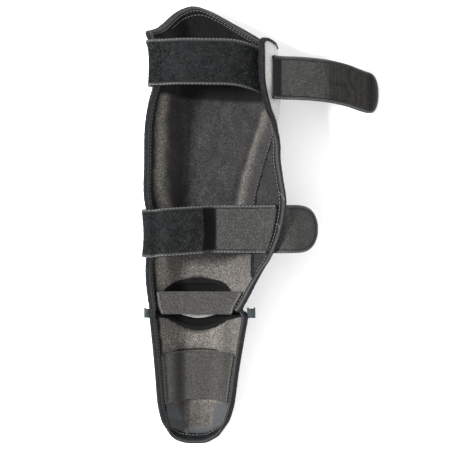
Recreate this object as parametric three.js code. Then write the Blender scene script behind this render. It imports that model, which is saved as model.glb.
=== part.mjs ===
// Shin and instep guard, lying on its outer face with the open side up.
// Millimetres, +Z up. The knee end is at +Y, the toe end at -Y, the opened strap at +X.
import * as THREE from "three";

// Shin shell
const SHIN_LENGTH = 264; // between the ends of the side rims
const SHIN_WIDTH = 110; // left rim to the seam of the side flap, at mid length
const SHIN_HEIGHT = 85; // highest point of the curled flange above the surface it lies on
const KNEE_REACH = 33; // how far the middle of the knee end runs past its corners
const ANKLE_BAY = 27; // how far the middle of the ankle end stays back from its corners
const SHIN_PAD = 16; // foam and cover

// Instep shell
const ANKLE_SPACE = 6; // between the rims of the two shells
const INSTEP_LENGTH = 109;
const INSTEP_WIDTH = 97;
const INSTEP_HEIGHT = 46;
const TOE_REACH = 17; // how far the toe runs past the ends of the side rims
const INSTEP_BAY = 14; // how far the middle of the instep's open end stays back
const INSTEP_PAD = 11;

// Walls and edges
const EDGE = 3; // a cover where it is bound
const LINING = 1.5;
const BINDING = 3; // how far a binding stands out past the edge that it wraps
const GAP = 0.3; // between pieces that touch
const SEAT = 0.6; // between a binding and the edge inside it
const FLAP = 2.4; // cover of the soft side flap

// Straps
const STRAP = 2.6; // thickness of the wide straps
const PATCH = 1.2; // loop or hook tape on them
const PIPING = 2.6; // width of a bound strap edge
const UPPER_STRAP_WIDTH = 42;
const UPPER_STRAP_PLACE = 237; // its middle, from the ankle end of the rims
const HOOK_STRAP_WIDTH = 39;
const HOOK_STRAP_PLACE = 223;
const HOOK_STRAP_LENGTH = 112;
const HOOK_PATCH_LENGTH = 54;
const MIDDLE_STRAP_WIDTH = 44;
const MIDDLE_STRAP_PLACE = 75;
const MIDDLE_LOOP_LENGTH = 50;
const INNER_STRAP_LENGTH = 66;
const TAB_LENGTH = 40;
const ANKLE_ELASTIC_WIDTH = 22;
const ANKLE_ELASTIC_PLACE = 7; // its middle, from the ankle end of the rims
const ELASTIC = 1.6;
const ELASTIC_BOW = 4; // how far its middle bows towards the ankle
const ELASTIC_RISE = 6; // how far the wide elastic stands off the lining in its middle
const INSTEP_ELASTIC_WIDTH = 48;
const INSTEP_ELASTIC_PLACE = 64; // its middle, from the open end of the instep shell
const TAB_WEBBING = 1.8;
const TAB_WIDTH = 9;
const TAB_OFFSET = 3; // how far the tabs' middle lies past the ends of the shin's rims
const TIGHT_FOLD = 4.8; // between the two runs of the left tab
const LOOSE_FOLD = 6.4; // and of the right one
const JOINING_FLAP = 2.2;

// How many faces a surface is divided into
const FACES_ACROSS = 24;
const FACES_ALONG = 7;

// The side flap's seam runs along the shell's right edge between these shares of its length.
const SEAM_LOW = 0.11;
const SEAM_HIGH = 0.663;
const SEAM_STEP = 0.016;

// A shell's inner face goes through these places, from its left rim under the leg to its right rim.
// pad: thickness there as a share of the shell's padding. The rest say how much it gets of an end's reach:
// knee and ankle on the shin, open and toe on the instep.
const PLACES = [
  { name: "rimL", pad: 0, knee: 0, ankle: 0, open: 0, toe: 0 },
  { name: "wallL", pad: 0.3, knee: 0.08, ankle: 0.3, open: 0, toe: 0.5 },
  { name: "ridgeL", pad: 1.15, knee: 0.22, ankle: 0.72, open: 0.1, toe: 0.77 },
  { name: "footL", pad: 1.3, knee: 0.86, ankle: 0.96, open: 0.67, toe: 0.95 },
  { name: "middle", pad: 1.25, knee: 1, ankle: 1, open: 1, toe: 1 },
  { name: "footR", pad: 1.2, knee: 0.36, ankle: 0.97, open: 0.78, toe: 0.95 },
  { name: "ridgeR", pad: 0.95, knee: -0.3, ankle: 0.75, open: 0.2, toe: 0.74 },
  { name: "wallR", pad: 0.35, knee: -0.3, ankle: 0.3, open: 0, toe: 0.47 },
  { name: "rimR", pad: 0, knee: -0.12, ankle: 0, open: 0, toe: 0 },
];

// Sections of the shin shell's inner face. at: share of the length from the ankle. Each place is [across, up],
// shares of the shell's width from the middle line and of its height. left and right: share of the padding.
const SHIN_SECTIONS = [
  { at: 0, rimL: [-0.4, 0.54], wallL: [-0.37, 0.44], ridgeL: [-0.3, 0.36], footL: [-0.19, 0.21],
    middle: [0, 0.18], footR: [0.17, 0.21], ridgeR: [0.27, 0.32], wallR: [0.32, 0.44],
    rimR: [0.35, 0.54], left: 0.45, right: 0.4 },
  { at: 0.11, rimL: [-0.43, 0.62], wallL: [-0.39, 0.5], ridgeL: [-0.31, 0.42], footL: [-0.17, 0.22],
    middle: [0.02, 0.2], footR: [0.25, 0.23], ridgeR: [0.38, 0.36], wallR: [0.44, 0.48],
    rimR: [0.48, 0.59], left: 0.9, right: 0.8 },
  { at: 0.19, rimL: [-0.425, 0.69], wallL: [-0.385, 0.55], ridgeL: [-0.305, 0.47], footL: [-0.16, 0.23],
    middle: [0.035, 0.2], footR: [0.275, 0.23], ridgeR: [0.4, 0.36], wallR: [0.455, 0.48],
    rimR: [0.49, 0.59], left: 1, right: 0.9 },
  { at: 0.28, rimL: [-0.385, 0.74], wallL: [-0.365, 0.59], ridgeL: [-0.295, 0.51], footL: [-0.15, 0.24],
    middle: [0.05, 0.2], footR: [0.305, 0.23], ridgeR: [0.425, 0.36], wallR: [0.475, 0.48],
    rimR: [0.505, 0.59], left: 1, right: 1 },
  { at: 0.42, rimL: [-0.438, 0.79], wallL: [-0.4, 0.63], ridgeL: [-0.29, 0.54], footL: [-0.14, 0.24],
    middle: [0.08, 0.2], footR: [0.36, 0.23], ridgeR: [0.46, 0.37], wallR: [0.5, 0.5],
    rimR: [0.525, 0.6], left: 1, right: 1 },
  { at: 0.545, rimL: [-0.435, 0.8], wallL: [-0.395, 0.64], ridgeL: [-0.285, 0.55], footL: [-0.135, 0.24],
    middle: [0.11, 0.2], footR: [0.42, 0.24], ridgeR: [0.53, 0.4], wallR: [0.58, 0.55],
    rimR: [0.6, 0.67], left: 1, right: 0.8 },
  { at: 0.663, rimL: [-0.43, 0.81], wallL: [-0.39, 0.65], ridgeL: [-0.28, 0.56], footL: [-0.13, 0.24],
    middle: [0.13, 0.2], footR: [0.48, 0.25], ridgeR: [0.61, 0.46], wallR: [0.665, 0.64],
    rimR: [0.67, 0.8], left: 1, right: 0.5 },
  { at: 0.75, rimL: [-0.4, 0.82], wallL: [-0.37, 0.67], ridgeL: [-0.27, 0.57], footL: [-0.125, 0.25],
    middle: [0.14, 0.21], footR: [0.5, 0.26], ridgeR: [0.655, 0.52], wallR: [0.675, 0.74],
    rimR: [0.605, 0.89], left: 1, right: 0.35 },
  { at: 0.84, rimL: [-0.345, 0.83], wallL: [-0.33, 0.68], ridgeL: [-0.26, 0.58], footL: [-0.12, 0.26],
    middle: [0.14, 0.22], footR: [0.5, 0.28], ridgeR: [0.675, 0.58], wallR: [0.67, 0.8],
    rimR: [0.56, 0.94], left: 1, right: 0.3 },
  { at: 0.94, rimL: [-0.345, 0.84], wallL: [-0.335, 0.7], ridgeL: [-0.275, 0.59], footL: [-0.13, 0.29],
    middle: [0.1, 0.25], footR: [0.46, 0.32], ridgeR: [0.665, 0.6], wallR: [0.67, 0.8],
    rimR: [0.553, 0.945], left: 0.85, right: 0.3 },
  { at: 1, rimL: [-0.425, 0.87], wallL: [-0.405, 0.73], ridgeL: [-0.325, 0.62], footL: [-0.15, 0.38],
    middle: [0, 0.34], footR: [0.37, 0.42], ridgeR: [0.64, 0.62], wallR: [0.66, 0.8],
    rimR: [0.55, 0.945], left: 0.4, right: 0.25 },
];

// Sections of the instep shell's inner face, from its open end to the toe, in the same terms.
const INSTEP_SECTIONS = [
  { at: 0, rimL: [-0.46, 0.92], wallL: [-0.43, 0.73], ridgeL: [-0.35, 0.58], footL: [-0.2, 0.34],
    middle: [-0.02, 0.3], footR: [0.17, 0.34], ridgeR: [0.33, 0.56], wallR: [0.435, 0.72],
    rimR: [0.47, 0.92], left: 0.5, right: 0.5 },
  { at: 0.2, rimL: [-0.435, 0.93], wallL: [-0.4, 0.74], ridgeL: [-0.33, 0.6], footL: [-0.18, 0.31],
    middle: [-0.01, 0.27], footR: [0.17, 0.31], ridgeR: [0.3, 0.56], wallR: [0.4, 0.73],
    rimR: [0.43, 0.92], left: 1, right: 1 },
  { at: 0.5, rimL: [-0.405, 0.9], wallL: [-0.375, 0.7], ridgeL: [-0.31, 0.58], footL: [-0.17, 0.3],
    middle: [-0.01, 0.26], footR: [0.14, 0.3], ridgeR: [0.26, 0.53], wallR: [0.34, 0.7],
    rimR: [0.375, 0.88], left: 1, right: 1 },
  { at: 0.8, rimL: [-0.38, 0.82], wallL: [-0.35, 0.62], ridgeL: [-0.28, 0.5], footL: [-0.16, 0.3],
    middle: [-0.01, 0.27], footR: [0.11, 0.3], ridgeR: [0.21, 0.46], wallR: [0.29, 0.6],
    rimR: [0.33, 0.8], left: 1, right: 1 },
  { at: 0.93, rimL: [-0.35, 0.75], wallL: [-0.32, 0.52], ridgeL: [-0.25, 0.41], footL: [-0.15, 0.32],
    middle: [-0.02, 0.3], footR: [0.09, 0.32], ridgeR: [0.17, 0.39], wallR: [0.24, 0.5],
    rimR: [0.29, 0.74], left: 0.85, right: 0.85 },
  { at: 1, rimL: [-0.33, 0.72], wallL: [-0.285, 0.7], ridgeL: [-0.225, 0.68], footL: [-0.145, 0.66],
    middle: [-0.03, 0.65], footR: [0.07, 0.66], ridgeR: [0.145, 0.67], wallR: [0.21, 0.69],
    rimR: [0.262, 0.71], left: 0.4, right: 0.4 },
];

// The free rim of the side flap: at, share of its seam; out and up, shares of the shin's width and height.
const FLAP_RIM = [
  { at: 0, out: 0.5, up: 0.64 },
  { at: 0.12, out: 0.6, up: 0.68 },
  { at: 0.3, out: 0.69, up: 0.76 },
  { at: 0.52, out: 0.738, up: 0.82 },
  { at: 0.7, out: 0.71, up: 0.82 },
  { at: 0.85, out: 0.688, up: 0.83 },
  { at: 1, out: 0.7, up: 0.85 },
];

const MATERIALS = {
  cover: { color: 0xdcdad6, roughness: 0.55 },
  lining: { color: 0x3b3836, roughness: 0.95 },
  binding: { color: 0x1c1d1d, roughness: 0.6 },
  strap: { color: 0x2f2d2b, roughness: 0.9 },
  loop: { color: 0x151617, roughness: 1 },
  hook: { color: 0x1e1e1c, roughness: 0.7 },
  elastic: { color: 0x343331, roughness: 0.9 },
};

const guard = new THREE.Group();

function addPiece(name, finish, geometry) {
  const mesh = new THREE.Mesh(geometry, new THREE.MeshStandardMaterial({ ...MATERIALS[finish], metalness: 0 }));
  mesh.name = name;
  guard.add(mesh);
  return mesh;
}

// A smooth value through the rows of a table, for one of its columns.
function valueAt(rows, share, read) {
  const last = rows.length - 1;
  let k = rows.findIndex((row) => row.at >= share);
  k = Math.min(Math.max(k < 0 ? last : k, 1), last);
  const step = rows[k].at - rows[k - 1].at;
  const t = THREE.MathUtils.clamp((share - rows[k - 1].at) / step, 0, 1);
  const slope = (i) => {
    const a = rows[Math.max(i - 1, 0)];
    const b = rows[Math.min(i + 1, last)];
    return ((read(b) - read(a)) / (b.at - a.at)) * step;
  };
  const p0 = read(rows[k - 1]);
  const p1 = read(rows[k]);
  const m0 = slope(k - 1);
  const m1 = slope(k);
  return (
    (2 * t ** 3 - 3 * t ** 2 + 1) * p0 +
    (t ** 3 - 2 * t ** 2 + t) * m0 +
    (3 * t ** 2 - 2 * t ** 3) * p1 +
    (t ** 3 - t ** 2) * m1
  );
}

// A padded shell described by a table of sections. face(a, b) gives its inner face, outer(a, b) its outer face;
// a runs from the left rim to the right one and b along the shell, towards +Y where heading is 1.
function makeShell({ sections, width, height, padding, rowY, heading }) {
  function controls(b) {
    return PLACES.map((place) => {
      const x = valueAt(sections, b, (row) => row[place.name][0]) * width;
      const z = valueAt(sections, b, (row) => row[place.name][1]) * height;
      return new THREE.Vector3(x, rowY(place, b), z);
    });
  }
  function outerControls(b) {
    const inner = controls(b);
    const left = valueAt(sections, b, (row) => row.left);
    const right = valueAt(sections, b, (row) => row.right);
    return inner.map((p, i) => {
      const before = inner[Math.max(i - 1, 0)];
      const after = inner[Math.min(i + 1, inner.length - 1)];
      const run = new THREE.Vector2(after.z - before.z, before.x - after.x).normalize();
      const side = THREE.MathUtils.lerp(left, right, i / (inner.length - 1));
      const end = i === 0 || i === inner.length - 1;
      const thick = end ? EDGE : Math.max(PLACES[i].pad * padding * side, EDGE);
      return new THREE.Vector3(p.x + run.x * thick, p.y, p.z + run.y * thick);
    });
  }
  function face(a, b) {
    return new THREE.CatmullRomCurve3(controls(b), false, "centripetal").getPoint(a);
  }
  function outer(a, b) {
    const p = new THREE.CatmullRomCurve3(outerControls(b), false, "centripetal").getPoint(a);
    p.z = Math.max(p.z, 0);
    return p;
  }
  // The direction towards the leg, square to one of the faces.
  function square(place, a, b) {
    const d = 0.01;
    const across = place(Math.min(a + d, 1), b).sub(place(Math.max(a - d, 0), b));
    const along = place(a, Math.min(b + d, 1)).sub(place(a, Math.max(b - d, 0)));
    return across.cross(along).normalize().multiplyScalar(heading);
  }
  // A point on the inner face, moved towards the leg.
  const lifted = (a, b, lift) => face(a, b).addScaledVector(square(face, a, b), lift);
  // A point on the outer face, moved away from the leg.
  const outside = (a, b, lift) => outer(a, b).addScaledVector(square(outer, a, b), -lift);
  return { face, outer, lifted, outside };
}

const shin = makeShell({
  sections: SHIN_SECTIONS,
  width: SHIN_WIDTH,
  height: SHIN_HEIGHT,
  padding: SHIN_PAD,
  heading: 1,
  rowY: (place, b) => b * SHIN_LENGTH + b * place.knee * KNEE_REACH + (1 - b) * place.ankle * ANKLE_BAY,
});

const instep = makeShell({
  sections: INSTEP_SECTIONS,
  width: INSTEP_WIDTH,
  height: INSTEP_HEIGHT,
  padding: INSTEP_PAD,
  heading: -1,
  rowY: (place, b) =>
    -ANKLE_SPACE - b * INSTEP_LENGTH - b * place.toe * TOE_REACH - (1 - b) * place.open * INSTEP_BAY,
});

// Evenly spaced shares from low to high.
function steps(low, high, count) {
  return Array.from({ length: count + 1 }, (_, i) => THREE.MathUtils.lerp(low, high, i / count));
}

// A closed body between two grids of points of the same size, made of triangles that face out.
function closedBody(lower, upper) {
  const rows = lower.length;
  const columns = lower[0].length;
  const count = rows * columns;
  const points = [...lower.flat(), ...upper.flat()];
  const faces = [];
  const quad = (a, b, c, d) => faces.push(a, b, c, a, c, d);
  const at = (i, j) => i * columns + j;
  for (let i = 0; i < rows - 1; i++) {
    for (let j = 0; j < columns - 1; j++) {
      quad(at(i, j), at(i, j + 1), at(i + 1, j + 1), at(i + 1, j));
      quad(count + at(i, j), count + at(i + 1, j), count + at(i + 1, j + 1), count + at(i, j + 1));
    }
  }
  const wall = (p, q) => quad(p, q + 0, q + count, p + count);
  for (let j = 0; j < columns - 1; j++) {
    wall(at(0, j + 1), at(0, j));
    wall(at(rows - 1, j), at(rows - 1, j + 1));
  }
  for (let i = 0; i < rows - 1; i++) {
    wall(at(i, 0), at(i + 1, 0));
    wall(at(i + 1, columns - 1), at(i, columns - 1));
  }
  return outwardGeometry(points, faces);
}

// A geometry whose faces point out, whichever way round they were listed.
function outwardGeometry(points, faces) {
  let volume = 0;
  const cross = new THREE.Vector3();
  for (let i = 0; i < faces.length; i += 3) {
    cross.crossVectors(points[faces[i + 1]], points[faces[i + 2]]);
    volume += points[faces[i]].dot(cross);
  }
  if (volume < 0) faces.reverse();
  const geometry = new THREE.BufferGeometry().setFromPoints(points);
  geometry.setIndex(faces);
  geometry.computeVertexNormals();
  return geometry;
}

// A wall between two functions of (a, b), over lists of a and b.
function wallBetween(lower, upper, across, along) {
  const grid = (place) => along.map((b) => across.map((a) => place(a, b)));
  return closedBody(grid(lower), grid(upper));
}

// A section carried along a path of frames. Each section point is [out, up] in a frame's own directions.
function sweep(frames, section) {
  const points = frames.flatMap((frame) =>
    section(frame).map(([out, up]) =>
      frame.origin.clone().addScaledVector(frame.outward, out).addScaledVector(frame.up, up),
    ),
  );
  const sides = points.length / frames.length;
  const faces = [];
  for (let i = 0; i < frames.length - 1; i++) {
    for (let j = 0; j < sides; j++) {
      const a = i * sides + j;
      const b = i * sides + ((j + 1) % sides);
      faces.push(a, b, b + sides, a, b + sides, a + sides);
    }
  }
  const last = (frames.length - 1) * sides;
  for (let j = 1; j < sides - 1; j++) {
    faces.push(0, j + 1, j);
    faces.push(last, last + j, last + j + 1);
  }
  return outwardGeometry(points, faces);
}

// A sheet of points as a closed body: its faces lie low and high above the sheet, on its upper side.
function slab(sheet, low, high) {
  const rows = sheet.length;
  const columns = sheet[0].length;
  const normals = sheet.map((line, i) =>
    line.map((_, j) => {
      const before = sheet[Math.max(i - 1, 0)][j];
      const after = sheet[Math.min(i + 1, rows - 1)][j];
      const left = line[Math.max(j - 1, 0)];
      const right = line[Math.min(j + 1, columns - 1)];
      return right.clone().sub(left).cross(after.clone().sub(before)).normalize();
    }),
  );
  const upward = normals.flat().reduce((sum, n) => sum + n.z, 0) < 0 ? -1 : 1;
  const raised = (lift) =>
    sheet.map((line, i) => line.map((p, j) => p.clone().addScaledVector(normals[i][j], lift * upward)));
  return { lower: raised(low), upper: raised(high) };
}

function addSlab(name, finish, sheet, low, high) {
  const { lower, upper } = slab(sheet, low, high);
  addPiece(name, finish, closedBody(lower, upper));
}

// The bound edge of a slab along a list of its [row, column] stations, which run with the slab on their right.
function addPiping(name, sheet, low, high, stations) {
  const { lower, upper } = slab(sheet, low, high);
  const frames = edgeFrames(stations.map(([i, j]) => [lower[i][j], upper[i][j]]));
  addPiece(name, "binding", sweep(frames, (frame) => pipingSection(frame)));
}

// The rounded section of a strap's bound edge.
function pipingSection({ half, start, mitre }) {
  const near = start + SEAT * mitre;
  return [[0, -1], [0.8, -0.8], [1, 0], [0.8, 0.8], [0, 1]].map(([out, up]) => [
    near + out * PIPING * mitre,
    up * (half + PIPING / 5),
  ]);
}

// A smooth line through points, cut into a number of steps.
function through(points, count) {
  const curve = new THREE.CatmullRomCurve3(points, false, "centripetal");
  return steps(0, 1, count).map((t) => curve.getPoint(t));
}

// The share along a shell at which its inner face, at a across, has this y.
function alongFor(shell, a, y) {
  let [low, high] = [0, 1];
  const rising = shell.face(a, 1).y > shell.face(a, 0).y;
  for (let i = 0; i < 24; i++) {
    const middle = (low + high) / 2;
    if (shell.face(a, middle).y < y === rising) low = middle;
    else high = middle;
  }
  return (low + high) / 2;
}

// Frames for a binding round an edge, from the edge points of the layers that it wraps, lowest layer first.
// The stations run with the wrapped piece on their right, seen from the leg.
function edgeFrames(stations) {
  const middles = stations.map((s) => s[0].clone().add(s[s.length - 1]).multiplyScalar(0.5));
  const ups = stations.map((s) => s[s.length - 1].clone().sub(s[0]));
  const between = (i) => {
    const run = middles[i + 1].clone().sub(middles[i]);
    const up = ups[i].clone().add(ups[i + 1]);
    return up.cross(run).normalize();
  };
  const sides = middles.slice(1).map((_, i) => between(i));
  return stations.map((layers, i) => {
    const before = sides[Math.max(i - 1, 0)];
    const after = sides[Math.min(i, sides.length - 1)];
    const outward = before.clone().add(after).normalize();
    const half = ups[i].length() / 2;
    const start = Math.max(...layers.map((p) => p.clone().sub(middles[i]).dot(outward)), 0);
    const mitre = 1 / Math.max(outward.dot(after), 0.65);
    return { origin: middles[i], outward, up: ups[i].clone().normalize(), half, start, mitre };
  });
}

// The rounded section of a binding that caps an edge.
function bindingSection({ half, start, mitre }) {
  const near = start + SEAT * mitre;
  const tall = half + BINDING / 5;
  const outline = [[0, -1], [0.75, -0.85], [1, -0.35], [1, 0.35], [0.75, 0.85], [0, 1]];
  return outline.map(([out, up]) => [near + out * BINDING * mitre, up * tall]);
}

// The layers of a shell's wall at (a, b): outer face of the cover, inner face of the cover, face of the lining.
function layersAt(shell, a, b) {
  return [shell.outer(a, b), shell.face(a, b), shell.lifted(a, b, GAP + LINING)];
}

// Shin shell

const acrossShell = steps(0, 1, FACES_ACROSS);
const seamStations = [
  SEAM_LOW + SEAM_STEP,
  ...steps(SEAM_LOW + SEAM_STEP, SEAM_HIGH - SEAM_STEP, FACES_ALONG).slice(1, -1),
  SEAM_HIGH - SEAM_STEP,
];
const lowStations = steps(0, SEAM_LOW, 2);
const highStations = steps(SEAM_HIGH, 1, FACES_ALONG);
const alongShin = [...lowStations, ...seamStations, ...highStations];

addPiece("shin_cover", "cover", wallBetween(shin.outer, shin.face, acrossShell, alongShin));
addPiece(
  "shin_lining",
  "lining",
  wallBetween(
    (a, b) => shin.lifted(a, b, GAP),
    (a, b) => shin.lifted(a, b, GAP + LINING),
    acrossShell,
    alongShin,
  ),
);

const shinEdge = [
  ...lowStations.toReversed().map((b) => [1, b]),
  ...acrossShell.toReversed().slice(1).map((a) => [a, 0]),
  ...alongShin.slice(1).map((b) => [0, b]),
  ...acrossShell.slice(1).map((a) => [a, 1]),
  ...highStations.toReversed().slice(1).map((b) => [1, b]),
];
const shinEdgeFrames = edgeFrames(shinEdge.map(([a, b]) => layersAt(shin, a, b)));
addPiece("shin_binding", "binding", sweep(shinEdgeFrames, bindingSection));

// Soft side flap

const seamDown = seamStations.toReversed();
const seamFrames = edgeFrames(seamDown.map((b) => layersAt(shin, 1, b)));
const flapStations = seamDown.map((b, i) => {
  const frame = seamFrames[i];
  const share = (b - seamStations[0]) / (seamDown[0] - seamStations[0]);
  const root = shin.face(1, b).addScaledVector(frame.outward, frame.start + SEAT);
  const rim = new THREE.Vector3(
    valueAt(FLAP_RIM, share, (row) => row.out) * SHIN_WIDTH,
    root.y,
    valueAt(FLAP_RIM, share, (row) => row.up) * SHIN_HEIGHT,
  );
  const bend = root.clone().addScaledVector(frame.outward, root.distanceTo(rim) * 0.35);
  return new THREE.QuadraticBezierCurve3(root, bend, rim);
});

// The flap's face towards the leg, under its lining: w runs from the seam to the rim, k counts stations.
function flapPoint(w, k, lift) {
  const curve = flapStations[k];
  const n = curve.getTangent(w).cross(new THREE.Vector3(0, 1, 0)).normalize();
  return curve.getPoint(w).addScaledVector(n, lift);
}
const flapDepth = (w) => -THREE.MathUtils.lerp(EDGE, FLAP, w);
const acrossFlap = steps(0, 1, 5);
const flapRows = flapStations.map((_, k) => k);
const flapWall = (lower, upper) => wallBetween(lower, upper, acrossFlap, flapRows);
addPiece("side_wing", "cover", flapWall((w, k) => flapPoint(w, k, flapDepth(w)), (w, k) => flapPoint(w, k, 0)));
addPiece(
  "wing_lining",
  "lining",
  flapWall((w, k) => flapPoint(w, k, GAP), (w, k) => flapPoint(w, k, GAP + LINING)),
);
const flapEdge = edgeFrames(
  flapRows.map((k) => [flapPoint(1, k, flapDepth(1)), flapPoint(1, k, 0), flapPoint(1, k, GAP + LINING)]),
);
addPiece("wing_binding", "binding", sweep(flapEdge, bindingSection));

// A flap point at any y: the stations' own curves, blended.
function flapAt(w, y, lift) {
  const ys = flapStations.map((curve) => curve.v0.y);
  let k = ys.findIndex((value) => value <= y);
  k = Math.min(Math.max(k, 1), ys.length - 1);
  const t = THREE.MathUtils.clamp((y - ys[k]) / (ys[k - 1] - ys[k]), 0, 1);
  return flapPoint(w, k, lift).lerp(flapPoint(w, k - 1, lift), t).setY(y);
}

// Straps over the opening

// Lines across a strap's width, as shares of half of it, for a strap that stays as wide and for a round end.
const acrossBand = steps(-1, 1, 2);
const acrossRound = steps(-1, 1, 4);
const ROOT_SHARE = 0.06; // how far down the wall a folded strap is sewn on, as a share of the wall's section

// A strap that starts on the outside of the left wall and folds over its bound rim.
function foldedRoot(y) {
  const b = y / SHIN_LENGTH;
  const rim = shin.outer(0, b).lerp(shin.lifted(0, b, LINING), 0.5).setY(y);
  const clear = SEAT + PIPING / 5 + STRAP / 2;
  const side = (EDGE + LINING) / 2 + BINDING / 5 + clear;
  const crest = SEAT + BINDING + clear;
  const beside = (out, up) => rim.clone().add(new THREE.Vector3(out * side, 0, up * crest));
  const low = shin.outside(ROOT_SHARE, b, SEAT + GAP + STRAP / 2).setY(y);
  low.x = Math.min(low.x, rim.x - side);
  return { rim, points: [low, beside(-1, 0), beside(-0.82, 0.75), beside(0, 1), beside(0.9, 1.08)] };
}

// The run of a strap after its fold. out: share of the opening. up: share of the shell's height. sway: along Y.
const UPPER_RUN = [
  { out: 0.2, up: 0.965, sway: 0 },
  { out: 0.45, up: 0.95, sway: 0 },
  { out: 0.68, up: 0.9, sway: -0.01 },
  { out: 0.84, up: 0.79, sway: -0.1 },
  { out: 0.94, up: 0.68, sway: -0.2 },
];
const MIDDLE_RUN = [
  { out: 0.25, up: 0.885, sway: 0.02 },
  { out: 0.5, up: 0.865, sway: 0.04 },
  { out: 0.75, up: 0.83, sway: 0.06 },
  { out: 1, up: 0.785, sway: 0.08 },
];

function foldedStrap(place, width, reach, run, count) {
  return acrossBand.map((s) => {
    const y = place + (s * width) / 2;
    const { rim, points } = foldedRoot(y);
    const rest = run.map(
      (row) => new THREE.Vector3(rim.x + row.out * reach, y + row.sway * width, row.up * SHIN_HEIGHT),
    );
    return through([...points, ...rest], count);
  });
}

const openingWidth = shin.face(0.9, 0.85).x - shin.face(0, 0.85).x;
const upperLoop = foldedStrap(UPPER_STRAP_PLACE, UPPER_STRAP_WIDTH, openingWidth, UPPER_RUN, 18);
const middleLoop = foldedStrap(MIDDLE_STRAP_PLACE, MIDDLE_STRAP_WIDTH, MIDDLE_LOOP_LENGTH, MIDDLE_RUN, 14);
const columnsOf = (sheet) => sheet[0].map((_, j) => j);

function addLoopStrap(name, sheet) {
  addSlab(name + "_strap", "strap", sheet, -STRAP / 2, STRAP / 2);
  addSlab(name + "_patch", "loop", sheet, STRAP / 2 + GAP, STRAP / 2 + GAP + PATCH);
  const top = columnsOf(sheet).map((j) => [sheet.length - 1, j]);
  const bottom = columnsOf(sheet).toReversed().map((j) => [0, j]);
  const high = STRAP / 2 + GAP + PATCH;
  addPiping(name + "_top_binding", sheet, -STRAP / 2, high, top);
  addPiping(name + "_bottom_binding", sheet, -STRAP / 2, high, bottom);
}
addLoopStrap("upper_loop", upperLoop);
addLoopStrap("middle_loop", middleLoop);

// Half the width of a strap with a round end, as a share, at a share of its length.
function roundEnd(share, length, width) {
  const radius = width / 2 / length;
  const into = THREE.MathUtils.clamp((share - (1 - radius)) / radius, 0, 0.94);
  return Math.sqrt(1 - into * into);
}

// The opened strap's fall from its seat on the flange to the surface that the guard lies on.
const HOOK_FALL = [
  { out: 0.05, fall: 0.04, sway: 0 },
  { out: 0.19, fall: 0.09, sway: 0 },
  { out: 0.4, fall: 0.23, sway: -0.02 },
  { out: 0.6, fall: 0.49, sway: -0.07 },
  { out: 0.75, fall: 0.79, sway: -0.14 },
  { out: 0.83, fall: 0.95, sway: -0.17 },
  { out: 0.92, fall: 1, sway: -0.2 },
];

const hookShare = HOOK_STRAP_PLACE / SHIN_LENGTH;
const hookSeat = (a) => shin.outside(a, hookShare, SEAT + SEAT + GAP + STRAP / 2).setY(HOOK_STRAP_PLACE);
const hookRoot = hookSeat(0.9);
const hookRest = hookRoot.z - STRAP / 2 - PIPING / 5 - GAP;
const hookLine = through(
  [
    hookSeat(0.94),
    hookRoot,
    ...HOOK_FALL.map((row) =>
      hookRoot.clone().add(
        new THREE.Vector3(row.out * HOOK_STRAP_LENGTH, row.sway * HOOK_STRAP_WIDTH, -row.fall * hookRest),
      ),
    ),
  ],
  16,
);

function straightStrap(line, width, length) {
  return acrossRound.map((s) =>
    line.map((p, j) => {
      const half = (width / 2) * roundEnd(j / (line.length - 1), length, width);
      return p.clone().add(new THREE.Vector3(0, s * half, 0));
    }),
  );
}

// The outline of a strap with a free round end: its top edge, its end and its bottom edge.
function outline(sheet) {
  const columns = columnsOf(sheet);
  const end = columns.length - 1;
  const top = sheet.length - 1;
  return [
    ...columns.map((j) => [top, j]),
    ...sheet.map((_, i) => [top - i, end]).slice(1),
    ...columns.toReversed().slice(1).map((j) => [0, j]),
  ];
}

const hookStrap = straightStrap(hookLine, HOOK_STRAP_WIDTH, HOOK_STRAP_LENGTH);
addSlab("upper_hook_strap", "strap", hookStrap, -STRAP / 2, STRAP / 2);
const hookColumns = Math.round((HOOK_PATCH_LENGTH / HOOK_STRAP_LENGTH) * (hookLine.length - 1));
const hookPatch = hookStrap.map((line) => line.slice(-hookColumns - 1));
addSlab("upper_hook_patch", "hook", hookPatch, STRAP / 2 + GAP, STRAP / 2 + GAP + PATCH);
addPiping("upper_hook_binding", hookStrap, -STRAP / 2, STRAP / 2, outline(hookStrap));

// The plain strap from the side flap towards the middle: out, share of its free length; up, share of the height.
const INNER_RUN = [
  { out: 0.3, up: 0.7 },
  { out: 0.65, up: 0.645 },
  { out: 1, up: 0.61 },
];
const innerPlace = MIDDLE_STRAP_PLACE + 4;
const innerStrap = acrossBand.map((s) => {
  const y = innerPlace + (s * MIDDLE_STRAP_WIDTH) / 2;
  const lift = GAP + LINING + SEAT + SEAT + STRAP / 2;
  const seat = [0.9, 0.7, 0.5].map((w) => flapAt(w, y, lift));
  const start = flapAt(0.5, innerPlace, lift);
  const run = INNER_RUN.map(
    (row) => new THREE.Vector3(start.x - row.out * INNER_STRAP_LENGTH, y, row.up * SHIN_HEIGHT),
  );
  return through([...seat, ...run], 12);
});
addSlab("middle_inner_strap", "strap", innerStrap, -STRAP / 2, STRAP / 2);
addPiping(
  "middle_inner_top_binding",
  innerStrap,
  -STRAP / 2,
  STRAP / 2,
  columnsOf(innerStrap).toReversed().map((j) => [innerStrap.length - 1, j]),
);
addPiping(
  "middle_inner_bottom_binding",
  innerStrap,
  -STRAP / 2,
  STRAP / 2,
  columnsOf(innerStrap).map((j) => [0, j]),
);

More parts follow.
